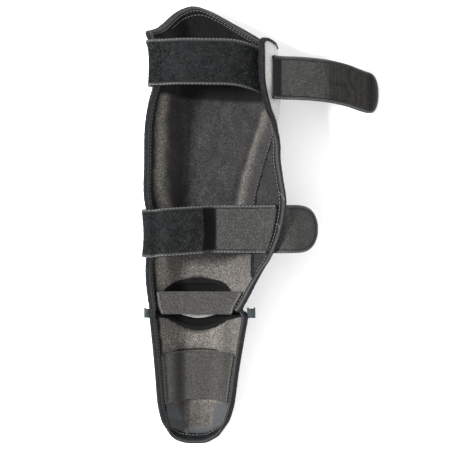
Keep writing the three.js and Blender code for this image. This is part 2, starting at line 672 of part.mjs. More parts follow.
// The rounded tab under the side flap.
const TAB_FALL = [
  { out: 0.25, fall: 0.06 },
  { out: 0.6, fall: 0.28 },
  { out: 0.9, fall: 0.58 },
];
const underFlap = FLAP + SEAT + PIPING / 5 + STRAP / 2;
const tabSeat = (w, y, down) => flapAt(w, y, -underFlap - down);
const tabRoot = tabSeat(1, innerPlace, BINDING / 2);
const tabSteps = 10;
const tabStrap = acrossRound.map((s) => {
  const y = innerPlace + (s * MIDDLE_STRAP_WIDTH) / 2;
  const run = TAB_FALL.map(
    (row) => new THREE.Vector3(tabRoot.x + row.out * TAB_LENGTH, y, tabRoot.z - row.fall * TAB_LENGTH),
  );
  return through([tabSeat(0.68, y, 0), tabSeat(1, y, BINDING / 2), ...run], tabSteps).map((p, j) => {
    const half = (s * MIDDLE_STRAP_WIDTH * roundEnd(j / tabSteps, TAB_LENGTH, MIDDLE_STRAP_WIDTH)) / 2;
    return p.setY(innerPlace + half);
  });
});
addSlab("middle_outer_tab", "strap", tabStrap, -STRAP / 2, STRAP / 2);
addPiping("middle_tab_binding", tabStrap, -STRAP / 2, STRAP / 2, outline(tabStrap));

// Instep shell

const alongInstep = steps(0, 1, 11);
addPiece("instep_cover", "cover", wallBetween(instep.outer, instep.face, acrossShell, alongInstep));
addPiece(
  "instep_lining",
  "lining",
  wallBetween(
    (a, b) => instep.lifted(a, b, GAP),
    (a, b) => instep.lifted(a, b, GAP + LINING),
    acrossShell,
    alongInstep,
  ),
);

// From the open end's left corner along it, then round the right rim, the toe and the left rim.
const instepEdge = [
  ...acrossShell.map((a) => [a, 0]),
  ...alongInstep.slice(1).map((b) => [1, b]),
  ...acrossShell.toReversed().slice(1).map((a) => [a, 1]),
  ...alongInstep.toReversed().slice(1, -1).map((b) => [0, b]),
];
const instepEdgeFrames = edgeFrames(instepEdge.map(([a, b]) => layersAt(instep, a, b)));
addPiece("instep_binding", "binding", sweep(instepEdgeFrames, bindingSection));

// Elastics

// The wide elastic follows the instep lining and stands clear of it in the middle.
const onLining = GAP + LINING + GAP;
const elasticLines = steps(-0.5, 0.5, 4).map((s) => {
  const y = -ANKLE_SPACE - INSTEP_ELASTIC_PLACE + s * INSTEP_ELASTIC_WIDTH;
  return acrossShell.slice(1, -1).map((a) => {
    const raised = Math.sin(Math.PI * a);
    const b = alongFor(instep, a, y + raised * ELASTIC_BOW);
    return instep.lifted(a, b, onLining + SEAT + raised ** 2 * ELASTIC_RISE);
  });
});
addSlab("instep_elastic", "elastic", elasticLines, 0, ELASTIC);

// The narrow elastic crosses between the rims of the shin shell.
const ankleLines = steps(-0.5, 0.5, 2).map((s) => {
  const y = ANKLE_ELASTIC_PLACE + s * ANKLE_ELASTIC_WIDTH;
  const onWall = (a) => {
    const past = Math.max(shin.face(a, 0).y - y, 0);
    return shin.lifted(a, alongFor(shin, a, y), onLining + SEAT + SEAT + past / 2).setY(y);
  };
  const left = onWall(0.07);
  const right = onWall(0.94);
  return steps(0, 1, 12).map((t) => {
    const p = left.clone().lerp(right, t);
    p.z -= Math.sin(Math.PI * t) * 3;
    return p;
  });
});
addSlab("ankle_elastic", "elastic", ankleLines, -ELASTIC / 2, ELASTIC / 2);

// Ankle

// The flexible sheet between the shells' open ends, which dips towards the surface that the guard lies on.
const FLAP_FROM = 5; // first face across that it reaches, from either side
const FLAP_DIP = 9;
const pastBinding = (frame) =>
  frame.origin
    .clone()
    .addScaledVector(frame.outward, frame.start + (SEAT + BINDING) * frame.mitre + GAP + SEAT);
const joiningSheet = acrossShell.slice(FLAP_FROM, -FLAP_FROM).map((a, i, inside) => {
  const column = FLAP_FROM + i;
  const high = pastBinding(shinEdgeFrames[lowStations.length - 1 + FACES_ACROSS - column]);
  const low = pastBinding(instepEdgeFrames[column]);
  const under = Math.sin((Math.PI * i) / (inside.length - 1));
  return steps(0, 1, 5).map((t) => {
    const p = high.clone().lerp(low, t);
    const dip = Math.sin(Math.PI * t) * under * FLAP_DIP;
    return p.setZ(Math.max(p.z - dip, JOINING_FLAP / 2 + GAP));
  });
});
addSlab("ankle_joining_flap", "cover", joiningSheet, -JOINING_FLAP / 2, JOINING_FLAP / 2);

// A folded end of the webbing that holds the shells together, against the outside of both rims.
function addAnkleTab(name, a, side, spread) {
  const rims = [shin, instep].map((shell) => shell.outer(a, 0).lerp(shell.lifted(a, 0, LINING), 0.5));
  const furthest = Math.max(...rims.map((p) => side * p.x));
  const x = furthest + (EDGE + LINING) / 2 + BINDING / 5 + SEAT + TAB_WEBBING / 2;
  const z = rims[0].z;
  const fold = [[0, -10], [0, -4], [0.15, -1], [0.5, 0], [0.85, -1], [1, -4], [1, -10]];
  const sheet = [-0.5, 0, 0.5].map((s) =>
    fold.map(([out, up]) => new THREE.Vector3(side * (x + out * spread), s * TAB_WIDTH - TAB_OFFSET, z + up)),
  );
  addSlab(name, "binding", sheet, -TAB_WEBBING / 2, TAB_WEBBING / 2);
}
addAnkleTab("ankle_tab_left", 0, -1, TIGHT_FOLD);
addAnkleTab("ankle_tab_right", 1, 1, LOOSE_FOLD);

// The origin is under the middle of the whole guard, on the surface that it lies on.
const whole = new THREE.Box3().setFromObject(guard);
const middle = whole.getCenter(new THREE.Vector3());
guard.position.set(-middle.x, -middle.y, -whole.min.z);

export default guard;
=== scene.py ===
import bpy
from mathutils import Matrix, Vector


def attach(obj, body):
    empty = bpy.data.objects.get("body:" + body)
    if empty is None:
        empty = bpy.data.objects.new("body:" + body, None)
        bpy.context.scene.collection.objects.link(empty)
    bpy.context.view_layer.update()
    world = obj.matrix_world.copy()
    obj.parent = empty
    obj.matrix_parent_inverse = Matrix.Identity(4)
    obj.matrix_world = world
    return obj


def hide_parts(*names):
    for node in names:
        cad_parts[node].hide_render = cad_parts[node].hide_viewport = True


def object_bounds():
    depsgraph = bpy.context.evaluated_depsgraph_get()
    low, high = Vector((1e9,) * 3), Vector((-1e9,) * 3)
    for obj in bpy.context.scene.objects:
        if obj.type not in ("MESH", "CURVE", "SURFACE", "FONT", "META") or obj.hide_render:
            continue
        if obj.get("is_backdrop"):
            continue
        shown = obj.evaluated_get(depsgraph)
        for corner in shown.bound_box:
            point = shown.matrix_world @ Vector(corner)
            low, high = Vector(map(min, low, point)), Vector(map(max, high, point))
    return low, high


bl_info = {
    "name": "Shin and Instep Guard",
    "version": (1, 0, 0),
    "blender": (4, 5, 0),
    "location": "3D View > Sidebar > Guard",
    "description": "Builds a padded shin and instep guard with its straps, bindings and elastics",
    "category": "Add Mesh",
}

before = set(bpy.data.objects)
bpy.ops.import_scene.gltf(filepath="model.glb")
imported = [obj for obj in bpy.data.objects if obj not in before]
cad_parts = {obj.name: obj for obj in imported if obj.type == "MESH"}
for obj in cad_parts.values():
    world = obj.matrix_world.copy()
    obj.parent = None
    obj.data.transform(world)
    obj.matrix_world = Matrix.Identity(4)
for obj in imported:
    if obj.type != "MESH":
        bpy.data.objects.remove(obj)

import math

import bpy
import numpy as np
from bpy.props import FloatProperty, FloatVectorProperty, IntProperty, PointerProperty

CAD_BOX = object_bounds()

# The guard's own frame is in millimetres; this takes it to the row frame.
SHIFT = np.array([-63.465, -82.3375, 0.0483])

# Main sizes of the guard in millimetres, as in its source
SHIN_LENGTH = 264.0
SHIN_WIDTH = 110.0
SHIN_HEIGHT = 85.0
KNEE_REACH = 33.0
ANKLE_BAY = 27.0
SHIN_PAD = 16.0
ANKLE_SPACE = 6.0
INSTEP_LENGTH = 109.0
INSTEP_WIDTH = 97.0
INSTEP_HEIGHT = 46.0
TOE_REACH = 17.0
INSTEP_BAY = 14.0
INSTEP_PAD = 11.0
EDGE = 3.0
LINING = 1.5
BINDING = 3.0
GAP = 0.3
SEAT = 0.6
FLAP = 2.4
STRAP = 2.6
PIPING = 2.6
SEAM_LOW = 0.11
SEAM_HIGH = 0.663
SEAM_STEP = 0.016
ANKLE_CORNER, FAR_CORNER = 2.0, 6.0
RIM_SIDE = (EDGE + LINING) / 2 + BINDING / 5

# A shell's inner face goes through nine places, from its left rim under the leg to its right rim.
PAD = np.array([0, 0.3, 1.15, 1.3, 1.25, 1.2, 0.95, 0.35, 0])
KNEE = np.array([0, 0.08, 0.22, 0.86, 1, 0.36, -0.3, -0.3, -0.12])
ANKLE = np.array([0, 0.3, 0.72, 0.96, 1, 0.97, 0.75, 0.3, 0])
OPEN = np.array([0, 0, 0.1, 0.67, 1, 0.78, 0.2, 0, 0])
TOE = np.array([0, 0.5, 0.77, 0.95, 1, 0.95, 0.74, 0.47, 0])

# Each row of a shell: share of its length, padding left and right, then across and up at the nine places.
SHIN_ROWS = np.array([
    [0, 0.45, 0.4, -0.4, 0.54, -0.37, 0.44, -0.3, 0.36, -0.19, 0.21, 0, 0.18,
     0.17, 0.21, 0.27, 0.32, 0.32, 0.44, 0.35, 0.54],
    [0.11, 0.9, 0.8, -0.43, 0.62, -0.39, 0.5, -0.31, 0.42, -0.17, 0.22, 0.02, 0.2,
     0.25, 0.23, 0.38, 0.36, 0.44, 0.48, 0.48, 0.59],
    [0.19, 1, 0.9, -0.425, 0.69, -0.385, 0.55, -0.305, 0.47, -0.16, 0.23, 0.035, 0.2,
     0.275, 0.23, 0.4, 0.36, 0.455, 0.48, 0.49, 0.59],
    [0.28, 1, 1, -0.385, 0.74, -0.365, 0.59, -0.295, 0.51, -0.15, 0.24, 0.05, 0.2,
     0.305, 0.23, 0.425, 0.36, 0.475, 0.48, 0.505, 0.59],
    [0.42, 1, 1, -0.438, 0.79, -0.4, 0.63, -0.29, 0.54, -0.14, 0.24, 0.08, 0.2,
     0.36, 0.23, 0.46, 0.37, 0.5, 0.5, 0.525, 0.6],
    [0.545, 1, 0.8, -0.435, 0.8, -0.395, 0.64, -0.285, 0.55, -0.135, 0.24, 0.11, 0.2,
     0.42, 0.24, 0.53, 0.4, 0.58, 0.55, 0.6, 0.67],
    [0.663, 1, 0.5, -0.43, 0.81, -0.39, 0.65, -0.28, 0.56, -0.13, 0.24, 0.13, 0.2,
     0.48, 0.25, 0.61, 0.46, 0.665, 0.64, 0.67, 0.8],
    [0.75, 1, 0.35, -0.4, 0.82, -0.37, 0.67, -0.27, 0.57, -0.125, 0.25, 0.14, 0.21,
     0.5, 0.26, 0.655, 0.52, 0.675, 0.74, 0.605, 0.89],
    [0.84, 1, 0.3, -0.345, 0.83, -0.33, 0.68, -0.26, 0.58, -0.12, 0.26, 0.14, 0.22,
     0.5, 0.28, 0.675, 0.58, 0.67, 0.8, 0.56, 0.94],
    [0.94, 0.85, 0.3, -0.345, 0.84, -0.335, 0.7, -0.275, 0.59, -0.13, 0.29, 0.1, 0.25,
     0.46, 0.32, 0.665, 0.6, 0.67, 0.8, 0.553, 0.945],
    [1, 0.4, 0.25, -0.425, 0.87, -0.405, 0.73, -0.325, 0.62, -0.15, 0.38, 0, 0.34,
     0.37, 0.42, 0.64, 0.62, 0.66, 0.8, 0.55, 0.945],
])
INSTEP_ROWS = np.array([
    [0, 0.5, 0.5, -0.46, 0.92, -0.43, 0.73, -0.35, 0.58, -0.2, 0.34, -0.02, 0.3,
     0.17, 0.34, 0.33, 0.56, 0.435, 0.72, 0.47, 0.92],
    [0.2, 1, 1, -0.435, 0.93, -0.4, 0.74, -0.33, 0.6, -0.18, 0.31, -0.01, 0.27,
     0.17, 0.31, 0.3, 0.56, 0.4, 0.73, 0.43, 0.92],
    [0.5, 1, 1, -0.405, 0.9, -0.375, 0.7, -0.31, 0.58, -0.17, 0.3, -0.01, 0.26,
     0.14, 0.3, 0.26, 0.53, 0.34, 0.7, 0.375, 0.88],
    [0.8, 1, 1, -0.38, 0.82, -0.35, 0.62, -0.28, 0.5, -0.16, 0.3, -0.01, 0.27,
     0.11, 0.3, 0.21, 0.46, 0.29, 0.6, 0.33, 0.8],
    [0.93, 0.85, 0.85, -0.35, 0.75, -0.32, 0.52, -0.25, 0.41, -0.15, 0.32, -0.02, 0.3,
     0.09, 0.32, 0.17, 0.39, 0.24, 0.5, 0.29, 0.74],
    [1, 0.4, 0.4, -0.33, 0.72, -0.285, 0.7, -0.225, 0.68, -0.145, 0.66, -0.03, 0.65,
     0.07, 0.66, 0.145, 0.67, 0.21, 0.69, 0.262, 0.71],
])

# The free rim of the side flap: share of its seam, out as a share of the shin's width, up of its height
FLAP_RIM = np.array([
    [0, 0.5, 0.64], [0.12, 0.6, 0.68], [0.3, 0.69, 0.76], [0.52, 0.738, 0.82],
    [0.7, 0.71, 0.82], [0.85, 0.688, 0.83], [1, 0.7, 0.85],
])


# Curves and surfaces


def mix(a, b, t):
    """The point a share t of the way from a to b."""
    return a + (b - a) * t


def unit(v):
    """Vectors of length one in the same directions."""
    return v / np.maximum(np.linalg.norm(v, axis=-1, keepdims=True), 1e-9)


def hermite(start, leaving, end, arriving, t):
    """The cubic from start to end that has the slopes leaving and arriving there."""
    return (
        (2 * t**3 - 3 * t**2 + 1) * start
        + (t**3 - 2 * t**2 + t) * leaving
        + (3 * t**2 - 2 * t**3) * end
        + (t**3 - t**2) * arriving
    )


def rows_at(rows, share):
    """Values between the rows of a table, whose first column is a share: cubic Hermite pieces between rows,
    each with the slope of the chord between its neighbours."""
    at, table = rows[:, 0], rows[:, 1:]
    n = np.arange(len(at))
    before, after = np.maximum(n - 1, 0), np.minimum(n + 1, n[-1])
    slope = (table[after] - table[before]) / (at[after] - at[before])[:, None]
    k = np.clip(np.searchsorted(at, share), 1, n[-1])
    step = (at[k] - at[k - 1])[..., None]
    t = np.clip((share[..., None] - at[k - 1][..., None]) / step, 0, 1)
    return hermite(table[k - 1], slope[k - 1] * step, table[k], slope[k] * step, t)


def spline(points, t):
    """Centripetal Catmull-Rom curve at t through points (..., n, 3): a cubic between two points, with slopes
    from the chords on both sides, each chord's time being the square root of its length."""
    first = 2 * points[..., :1, :] - points[..., 1:2, :]
    last = 2 * points[..., -1:, :] - points[..., -2:-1, :]
    p = np.concatenate([first, points, last], axis=-2)
    spans = points.shape[-2] - 1
    shape = np.broadcast_shapes(p.shape[:-2], np.shape(t))
    t = np.broadcast_to(t, shape)
    p = np.broadcast_to(p, shape + p.shape[-2:])
    k = np.clip(np.floor(t * spans).astype(int), 0, spans - 1)
    w = (t * spans - k)[..., None]
    p0, p1, p2, p3 = (np.take_along_axis(p, (k + i)[..., None, None], -2)[..., 0, :] for i in range(4))
    d0, d1, d2 = (
        np.maximum(np.linalg.norm(b - a, axis=-1, keepdims=True), 1e-4) ** 0.5
        for a, b in ((p0, p1), (p1, p2), (p2, p3))
    )
    m1 = ((p1 - p0) / d0 - (p2 - p0) / (d0 + d1) + (p2 - p1) / d1) * d1
    m2 = ((p2 - p1) / d1 - (p3 - p1) / (d1 + d2) + (p3 - p2) / d2) * d1
    return hermite(p1, m1, p2, m2, w)


def even_path(points, step):
    """Points along a line at even distances of about step: the line's own points, read at equal lengths."""
    length = np.concatenate([[0], np.cumsum(np.linalg.norm(np.diff(points, axis=0), axis=1))])
    count = max(int(round(length[-1] / step)), 2)
    at = np.linspace(0, length[-1], count + 1)
    return np.stack([np.interp(at, length, points[:, i]) for i in range(points.shape[1])], axis=-1)


class Shell:
    """A padded shell of a table of sections. a runs over its nine places, b along it."""

    def __init__(self, rows, width, height, padding, heading, row_y):
        self.rows, self.width, self.height = rows, width, height
        self.padding, self.heading, self.row_y = padding, heading, row_y

    def controls(self, b):
        """The nine places of the inner face at b, and the padding left and right there."""
        v = rows_at(self.rows, b)
        x = v[..., 2::2] * self.width
        z = v[..., 3::2] * self.height
        y = self.row_y(b[..., None])
        return np.stack([x, y, z], axis=-1), v[..., 0], v[..., 1]

    def face(self, a, b):
        """Inner face of the cover: the curve through the nine places of row b, at a."""
        a, b = np.broadcast_arrays(np.asarray(a, float), np.asarray(b, float))
        return spline(self.controls(b)[0], a)

    def outer(self, a, b):
        """Outer face: each place moved out square to its neighbours' chord by the padding there, and never
        below the surface that the guard lies on."""
        a, b = np.broadcast_arrays(np.asarray(a, float), np.asarray(b, float))
        p, left, right = self.controls(b)
        n = np.arange(9)
        chord = p[..., np.minimum(n + 1, 8), :] - p[..., np.maximum(n - 1, 0), :]
        away = unit(np.stack([chord[..., 2], 0 * chord[..., 0], -chord[..., 0]], axis=-1))
        side = mix(left[..., None], right[..., None], n / 8)
        thick = np.maximum(PAD * self.padding * side, EDGE)
        thick[..., [0, 8]] = EDGE
        q = spline(p + away * thick[..., None], a)
        q[..., 2] = np.maximum(q[..., 2], 0)
        return q

    def square(self, place, a, b):
        """Direction towards the leg, square to a face: the cross product of its two tangents."""
        d = 0.01
        across = place(np.minimum(a + d, 1), b) - place(np.maximum(a - d, 0), b)
        along = place(a, np.minimum(b + d, 1)) - place(a, np.maximum(b - d, 0))
        return unit(np.cross(across, along)) * self.heading

    def lifted(self, a, b, lift):
        """The inner face, moved towards the leg by lift."""
        n = self.square(self.face, a, b)
        return self.face(a, b) + n * np.broadcast_to(lift, n.shape[:-1])[..., None]

    def outside(self, a, b, lift):
        """The outer face, moved away from the leg by lift."""
        n = self.square(self.outer, a, b)
        return self.outer(a, b) - n * np.broadcast_to(lift, n.shape[:-1])[..., None]


shin = Shell(
    SHIN_ROWS, SHIN_WIDTH, SHIN_HEIGHT, SHIN_PAD, 1,
    lambda b: b * SHIN_LENGTH + b * KNEE * KNEE_REACH + (1 - b) * ANKLE * ANKLE_BAY,
)
instep = Shell(
    INSTEP_ROWS, INSTEP_WIDTH, INSTEP_HEIGHT, INSTEP_PAD, -1,
    lambda b: -ANKLE_SPACE - b * INSTEP_LENGTH - b * TOE * TOE_REACH - (1 - b) * OPEN * INSTEP_BAY,
)

# How much of a and b one millimetre takes near the rims of the shells
SHIN_SCALE = np.array([1 / 96, 1 / SHIN_LENGTH])
INSTEP_SCALE = np.array([1 / 64, 1 / INSTEP_LENGTH])


def ripples(x, y, seed, count, longest, shortest):
    """Small uneven waves over a plane, from -1 to 1: the mean of plane waves with seeded directions,
    lengths between longest and shortest, and phases."""
    rng = np.random.default_rng(seed)
    turn = rng.uniform(0, 2 * math.pi, count)
    wave = 2 * math.pi / np.exp(rng.uniform(math.log(shortest), math.log(longest), count))
    phase = rng.uniform(0, 2 * math.pi, count)
    total = sum(
        np.sin((x * np.cos(turn[i]) + y * np.sin(turn[i])) * wave[i] + phase[i]) for i in range(count)
    )
    return total / math.sqrt(count)


def off_line(x, y, line):
    """Distance of points in a plane from a line through given points: the least distance to its pieces."""
    best = np.full(np.shape(x), 1e9)
    for (x0, y0), (x1, y1) in zip(line[:-1], line[1:]):
        along = np.array([x1 - x0, y1 - y0])
        t = np.clip(((x - x0) * along[0] + (y - y0) * along[1]) / (along @ along), 0, 1)
        best = np.minimum(best, np.hypot(x - x0 - t * along[0], y - y0 - t * along[1]))
    return best


def hump(distance, width):
    """A smooth hill of height one: exp of minus the square of distance over width."""
    return np.exp(-((distance / width) ** 2))


# Meshes


def grid_faces(rows, columns, offset=0, closed=False):
    """Corner numbers of the four-sided faces of a grid; a closed grid joins its last column to its first."""
    i = np.arange(rows - 1)[:, None]
    j = np.arange(columns if closed else columns - 1)[None, :]
    k = (j + 1) % columns
    corners = [i * columns + j, i * columns + k, (i + 1) * columns + k, (i + 1) * columns + j]
    return np.stack(corners, axis=-1).reshape(-1, 4) + offset


def make_mesh(name, points, faces, uv=None):
    """A mesh from points in millimetres and corner numbers, turned so that its faces point outwards: the
    sign of the sum of each face's volume with the centre says which way they do."""
    points = np.asarray(points, float)
    centred = points - points.mean(axis=0)
    a, b, c, d = (centred[faces[:, i]] for i in range(4))
    volume = np.einsum("ij,ij->", a, np.cross(b, c)) + np.einsum("ij,ij->", a, np.cross(c, d))
    if volume < 0:
        faces = faces[:, ::-1]
    mesh = bpy.data.meshes.new(name)
    mesh.vertices.add(len(points))
    mesh.vertices.foreach_set("co", ((points + SHIFT) / 1000).astype(np.float32).ravel())
    mesh.loops.add(faces.size)
    mesh.loops.foreach_set("vertex_index", faces.astype(np.int32).ravel())
    mesh.polygons.add(len(faces))
    mesh.polygons.foreach_set("loop_start", np.arange(0, faces.size, 4, dtype=np.int32))
    mesh.update(calc_edges=True)
    mesh.polygons.foreach_set("use_smooth", np.ones(len(faces), bool))
    if uv is not None:
        layer = mesh.uv_layers.new(name="cloth")
        layer.data.foreach_set("uv", (uv[faces.ravel()] / 1000).astype(np.float32).ravel())
    mesh.update()
    return mesh


def measured(grid):
    """A grid's own plane coordinates in millimetres: the lengths run along its rows and its columns."""
    def run(axis):
        step = np.linalg.norm(np.diff(grid, axis=axis), axis=-1)
        start = np.zeros_like(np.take(step, [0], axis=axis))
        return np.concatenate([start, np.cumsum(step, axis=axis)], axis=axis)
    along, across = run(1), run(0)
    along = along - along.mean(axis=1, keepdims=True)
    return np.stack([along, across], axis=-1)


def wall_between(lower, upper):
    """A closed body between two grids of the same size: both grids, and the strip round their edges."""
    rows, columns = upper.shape[:2]
    count = rows * columns
    points = np.concatenate([lower.reshape(-1, 3), upper.reshape(-1, 3)])
    bottom, top = grid_faces(rows, columns)[:, ::-1], grid_faces(rows, columns, count)
    edge = np.concatenate([
        np.arange(columns), np.arange(2, rows + 1) * columns - 1,
        (rows - 1) * columns + np.arange(columns - 2, -1, -1), np.arange(rows - 2, 0, -1) * columns,
    ])
    after = np.roll(edge, -1)
    strip = np.stack([edge, after, after + count, edge + count], axis=-1)
    plane = measured(upper).reshape(-1, 2)
    return points, np.concatenate([bottom, top, strip]), np.concatenate([plane, plane])


def normals_of(grid):
    """Directions square to a grid of points: the cross product of its two differences."""
    return unit(np.cross(np.gradient(grid, axis=1), np.gradient(grid, axis=0)))


def upward(sheet):
    """Directions square to a sheet on its upper side."""
    n = normals_of(sheet)
    return n * (1 if n[..., 2].sum() > 0 else -1)


def out_of(sheet):
    """Directions square to a sheet that wraps an edge, away from the middle of that edge."""
    n = normals_of(sheet)
    centre = sheet.mean(axis=1, keepdims=True)
    return n * (1 if ((sheet - centre) * n).sum() > 0 else -1)


def on_both(values):
    """The same level for each point of a body's two sides."""
    return np.concatenate([values.ravel()] * 2)


def slab(sheet, low, high):
    """The two faces of a sheet with thickness, low and high above it on its upper side."""
    n = upward(sheet)
    low, high = (np.broadcast_to(v, sheet.shape[:-1])[..., None] for v in (low, high))
    return sheet + n * low, sheet + n * high


def tube_along(path, radius, sides):
    """A tube along a line of points: at each point a ring square to the line's own direction."""
    run = unit(np.gradient(path, axis=0))
    side = unit(np.cross(run, [0.0, 0.0, 1.0]))
    top = np.cross(side, run)
    turn = np.linspace(0, 2 * math.pi, sides, endpoint=False)
    ring = np.cos(turn)[None, :, None] * side[:, None] + np.sin(turn)[None, :, None] * top[:, None]
    points = (path[:, None] + ring * radius).reshape(-1, 3)
    return points, grid_faces(len(path), sides, closed=True)


def stitches(path, normal, length, pitch, radius):
    """Thread stitches along a line: for each, a short closed tube that leaves the cloth, runs above it and
    goes back in. Its centre line is a half sine over its length, and its ends are pinched."""
    rise = 0.3
    total = np.concatenate([[0], np.cumsum(np.linalg.norm(np.diff(path, axis=0), axis=1))])
    count = max(int(total[-1] / pitch), 1)
    at = (np.arange(count) + 0.5) * total[-1] / count
    local = np.linspace(-0.5, 0.5, 5)
    where = at[:, None] + local[None, :] * length
    read = lambda values: np.stack([np.interp(where, total, values[:, i]) for i in range(3)], axis=-1)
    centre, up = read(path), unit(read(normal))
    centre = centre + up * (rise * np.cos(local * math.pi) - 0.15)[None, :, None]
    run = unit(np.gradient(centre, axis=1))
    side = unit(np.cross(run, up))
    top = np.cross(side, run)
    turn = np.linspace(0, 2 * math.pi, 5, endpoint=False)
    thick = radius * np.array([0.4, 0.95, 1, 0.95, 0.4])
    ring = np.cos(turn)[:, None] * side[:, :, None] + np.sin(turn)[:, None] * top[:, :, None]
    grid = centre[:, :, None] + ring * thick[None, :, None, None]
    return many(grid)


def many(grid):
    """Points and faces of a lot of closed tubes: grid is (tubes, rings, sides, 3), with its ends capped by
    the first and last ring drawn to their middles."""
    tubes, rings, sides = grid.shape[:3]
    ends = [grid[:, [0]].mean(axis=2, keepdims=True), grid[:, [-1]].mean(axis=2, keepdims=True)]
    ends = [np.broadcast_to(e, (tubes, 1, sides, 3)) for e in ends]
    full = np.concatenate([ends[0], grid, ends[1]], axis=1)
    one = grid_faces(rings + 2, sides, closed=True)
    faces = (one[None] + (np.arange(tubes) * (rings + 2) * sides)[:, None, None]).reshape(-1, 4)
    return full.reshape(-1, 3), faces


def joined(parts):
    """Several lots of points and faces as one."""
    offset = np.cumsum([0] + [len(p) for p, _ in parts])
    return (
        np.concatenate([p for p, _ in parts]),
        np.concatenate([f + o for (_, f), o in zip(parts, offset)]),
    )


# Finishes


class Value:
    """A number or a vector in a shader. Its operators add Math nodes."""

    def __init__(self, shader, socket):
        self.shader, self.socket = shader, socket

    def maths(self, operation, *values):
        return self.shader.node("ShaderNodeMath", {"operation": operation}, dict(enumerate(values)))

    def __add__(self, other):
        return self.maths("ADD", self, other)

    def __sub__(self, other):
        return self.maths("SUBTRACT", self, other)

    def __rsub__(self, other):
        return self.maths("SUBTRACT", other, self)

    def __mul__(self, other):
        return self.maths("MULTIPLY", self, other)

    def __rmul__(self, other):
        return self.maths("MULTIPLY", other, self)

    def above(self, other):
        return self.maths("MAXIMUM", self, other)

    def size(self):
        return self.maths("ABSOLUTE", self)

    def ridges(self, pitch):
        """Ridges from 0 to 1 along a coordinate in metres, one for each pitch."""
        return self.maths("SINE", self * (math.pi / pitch)).size()

    def between(self, low, high):
        """From 0 at low to 1 at high, smoothly."""
        return self.shader.node(
            "ShaderNodeMapRange", {"interpolation_type": "SMOOTHSTEP"},
            {"Value": self, "From Min": low, "From Max": high},
        )


class Finish:
    """A material that is built from nodes. Constants are set on the shader's own sockets."""

    def __init__(self, name, **constants):
        self.material = bpy.data.materials.new(name)
        self.material.use_nodes = True
        self.tree = self.material.node_tree
        self.shader = next(n for n in self.tree.nodes if n.type == "BSDF_PRINCIPLED")
        for socket, value in constants.items():
            self.shader.inputs[socket.replace("_", " ")].default_value = value

    def node(self, kind, settings=None, values=None, output=0):
        """One node: its settings are set first, then the values or links of its sockets."""
        made = self.tree.nodes.new(kind)
        for key, value in (settings or {}).items():
            setattr(made, key, value)
        for key, value in (values or {}).items():
            socket = made.inputs[key]
            if isinstance(value, Value):
                self.tree.links.new(value.socket, socket)
            else:
                socket.default_value = value
        return Value(self, made.outputs[output])

    def place(self):
        """Object coordinates, in metres."""
        return self.node("ShaderNodeTexCoord", output="Object")

    def cloth(self):
        """The piece's own plane coordinates along and across it, in metres."""
        at = self.node("ShaderNodeUVMap", {"uv_map": "cloth"})
        parts = self.tree.nodes.new("ShaderNodeSeparateXYZ")
        self.tree.links.new(at.socket, parts.inputs[0])
        return Value(self, parts.outputs[0]), Value(self, parts.outputs[1])

    def noise(self, size, detail=3.0, rough=0.55, stretch=None):
        """Noise from 0 to 1 with grains of a size in metres, stretched by a mapping where one is given."""
        at = self.place()
        if stretch is not None:
            at = self.node("ShaderNodeMapping", {"vector_type": "POINT"}, {"Vector": at, "Scale": stretch})
        return self.node(
            "ShaderNodeTexNoise", {"noise_dimensions": "3D"},
            {"Vector": at, "Scale": 1 / size, "Detail": detail, "Roughness": rough},
        )

    def grains(self, size):
        """Distance from the nearest of many scattered points that lie about a size apart."""
        return self.node("ShaderNodeTexVoronoi", {}, {"Vector": self.place(), "Scale": 1 / size})

    def attribute(self, name):
        """A number that each point of the piece carries."""
        return self.node("ShaderNodeAttribute", {"attribute_name": name}, output="Fac")

    def mix(self, share, first, second):
        """A colour between two."""
        pad = lambda c: c if isinstance(c, Value) else (*tuple(c)[:3], 1.0)
        return self.node(
            "ShaderNodeMix", {"data_type": "RGBA"}, {0: share, 6: pad(first), 7: pad(second)}, output=2
        )

    def finish(self, colour, roughness=None, height=None, depth=0.0002):
        """Colour, roughness and a bump whose height of 1 stands depth metres high."""
        self.tree.links.new(colour.socket, self.shader.inputs["Base Color"])
        if roughness is not None:
            self.tree.links.new(roughness.socket, self.shader.inputs["Roughness"])
        if height is not None:
            bump = self.node("ShaderNodeBump", {}, {"Height": height, "Distance": depth})
            self.tree.links.new(bump.socket, self.shader.inputs["Normal"])
        return self.material


def shade(colour, factor):
    """A colour, darker or lighter by a factor."""
    return tuple(min(c * factor, 1.0) for c in colour)


def leather(colours):
    """Pale grained leather: cells of about a millimetre, soft grey clouds and fine creases."""
    f = Finish("pale leather", IOR=1.48, Coat_Roughness=0.35)
    cells = f.grains(0.0011)
    clouds = f.noise(0.035, 4)
    creases = (f.noise(0.012, 5, 0.6) - 0.5).size().between(0.0, 0.05)
    colour = f.mix(clouds.between(0.35, 0.7), shade(colours.leather, 0.74), colours.leather)
    colour = f.mix((1 - creases) * 0.4, colour, shade(colours.leather, 0.55))
    relief = cells.between(0.0, 0.7) * 0.6 + creases * 0.5 + f.noise(0.004) * 0.6
    return f.finish(colour, clouds * 0.2 + 0.38, relief, 0.00025)


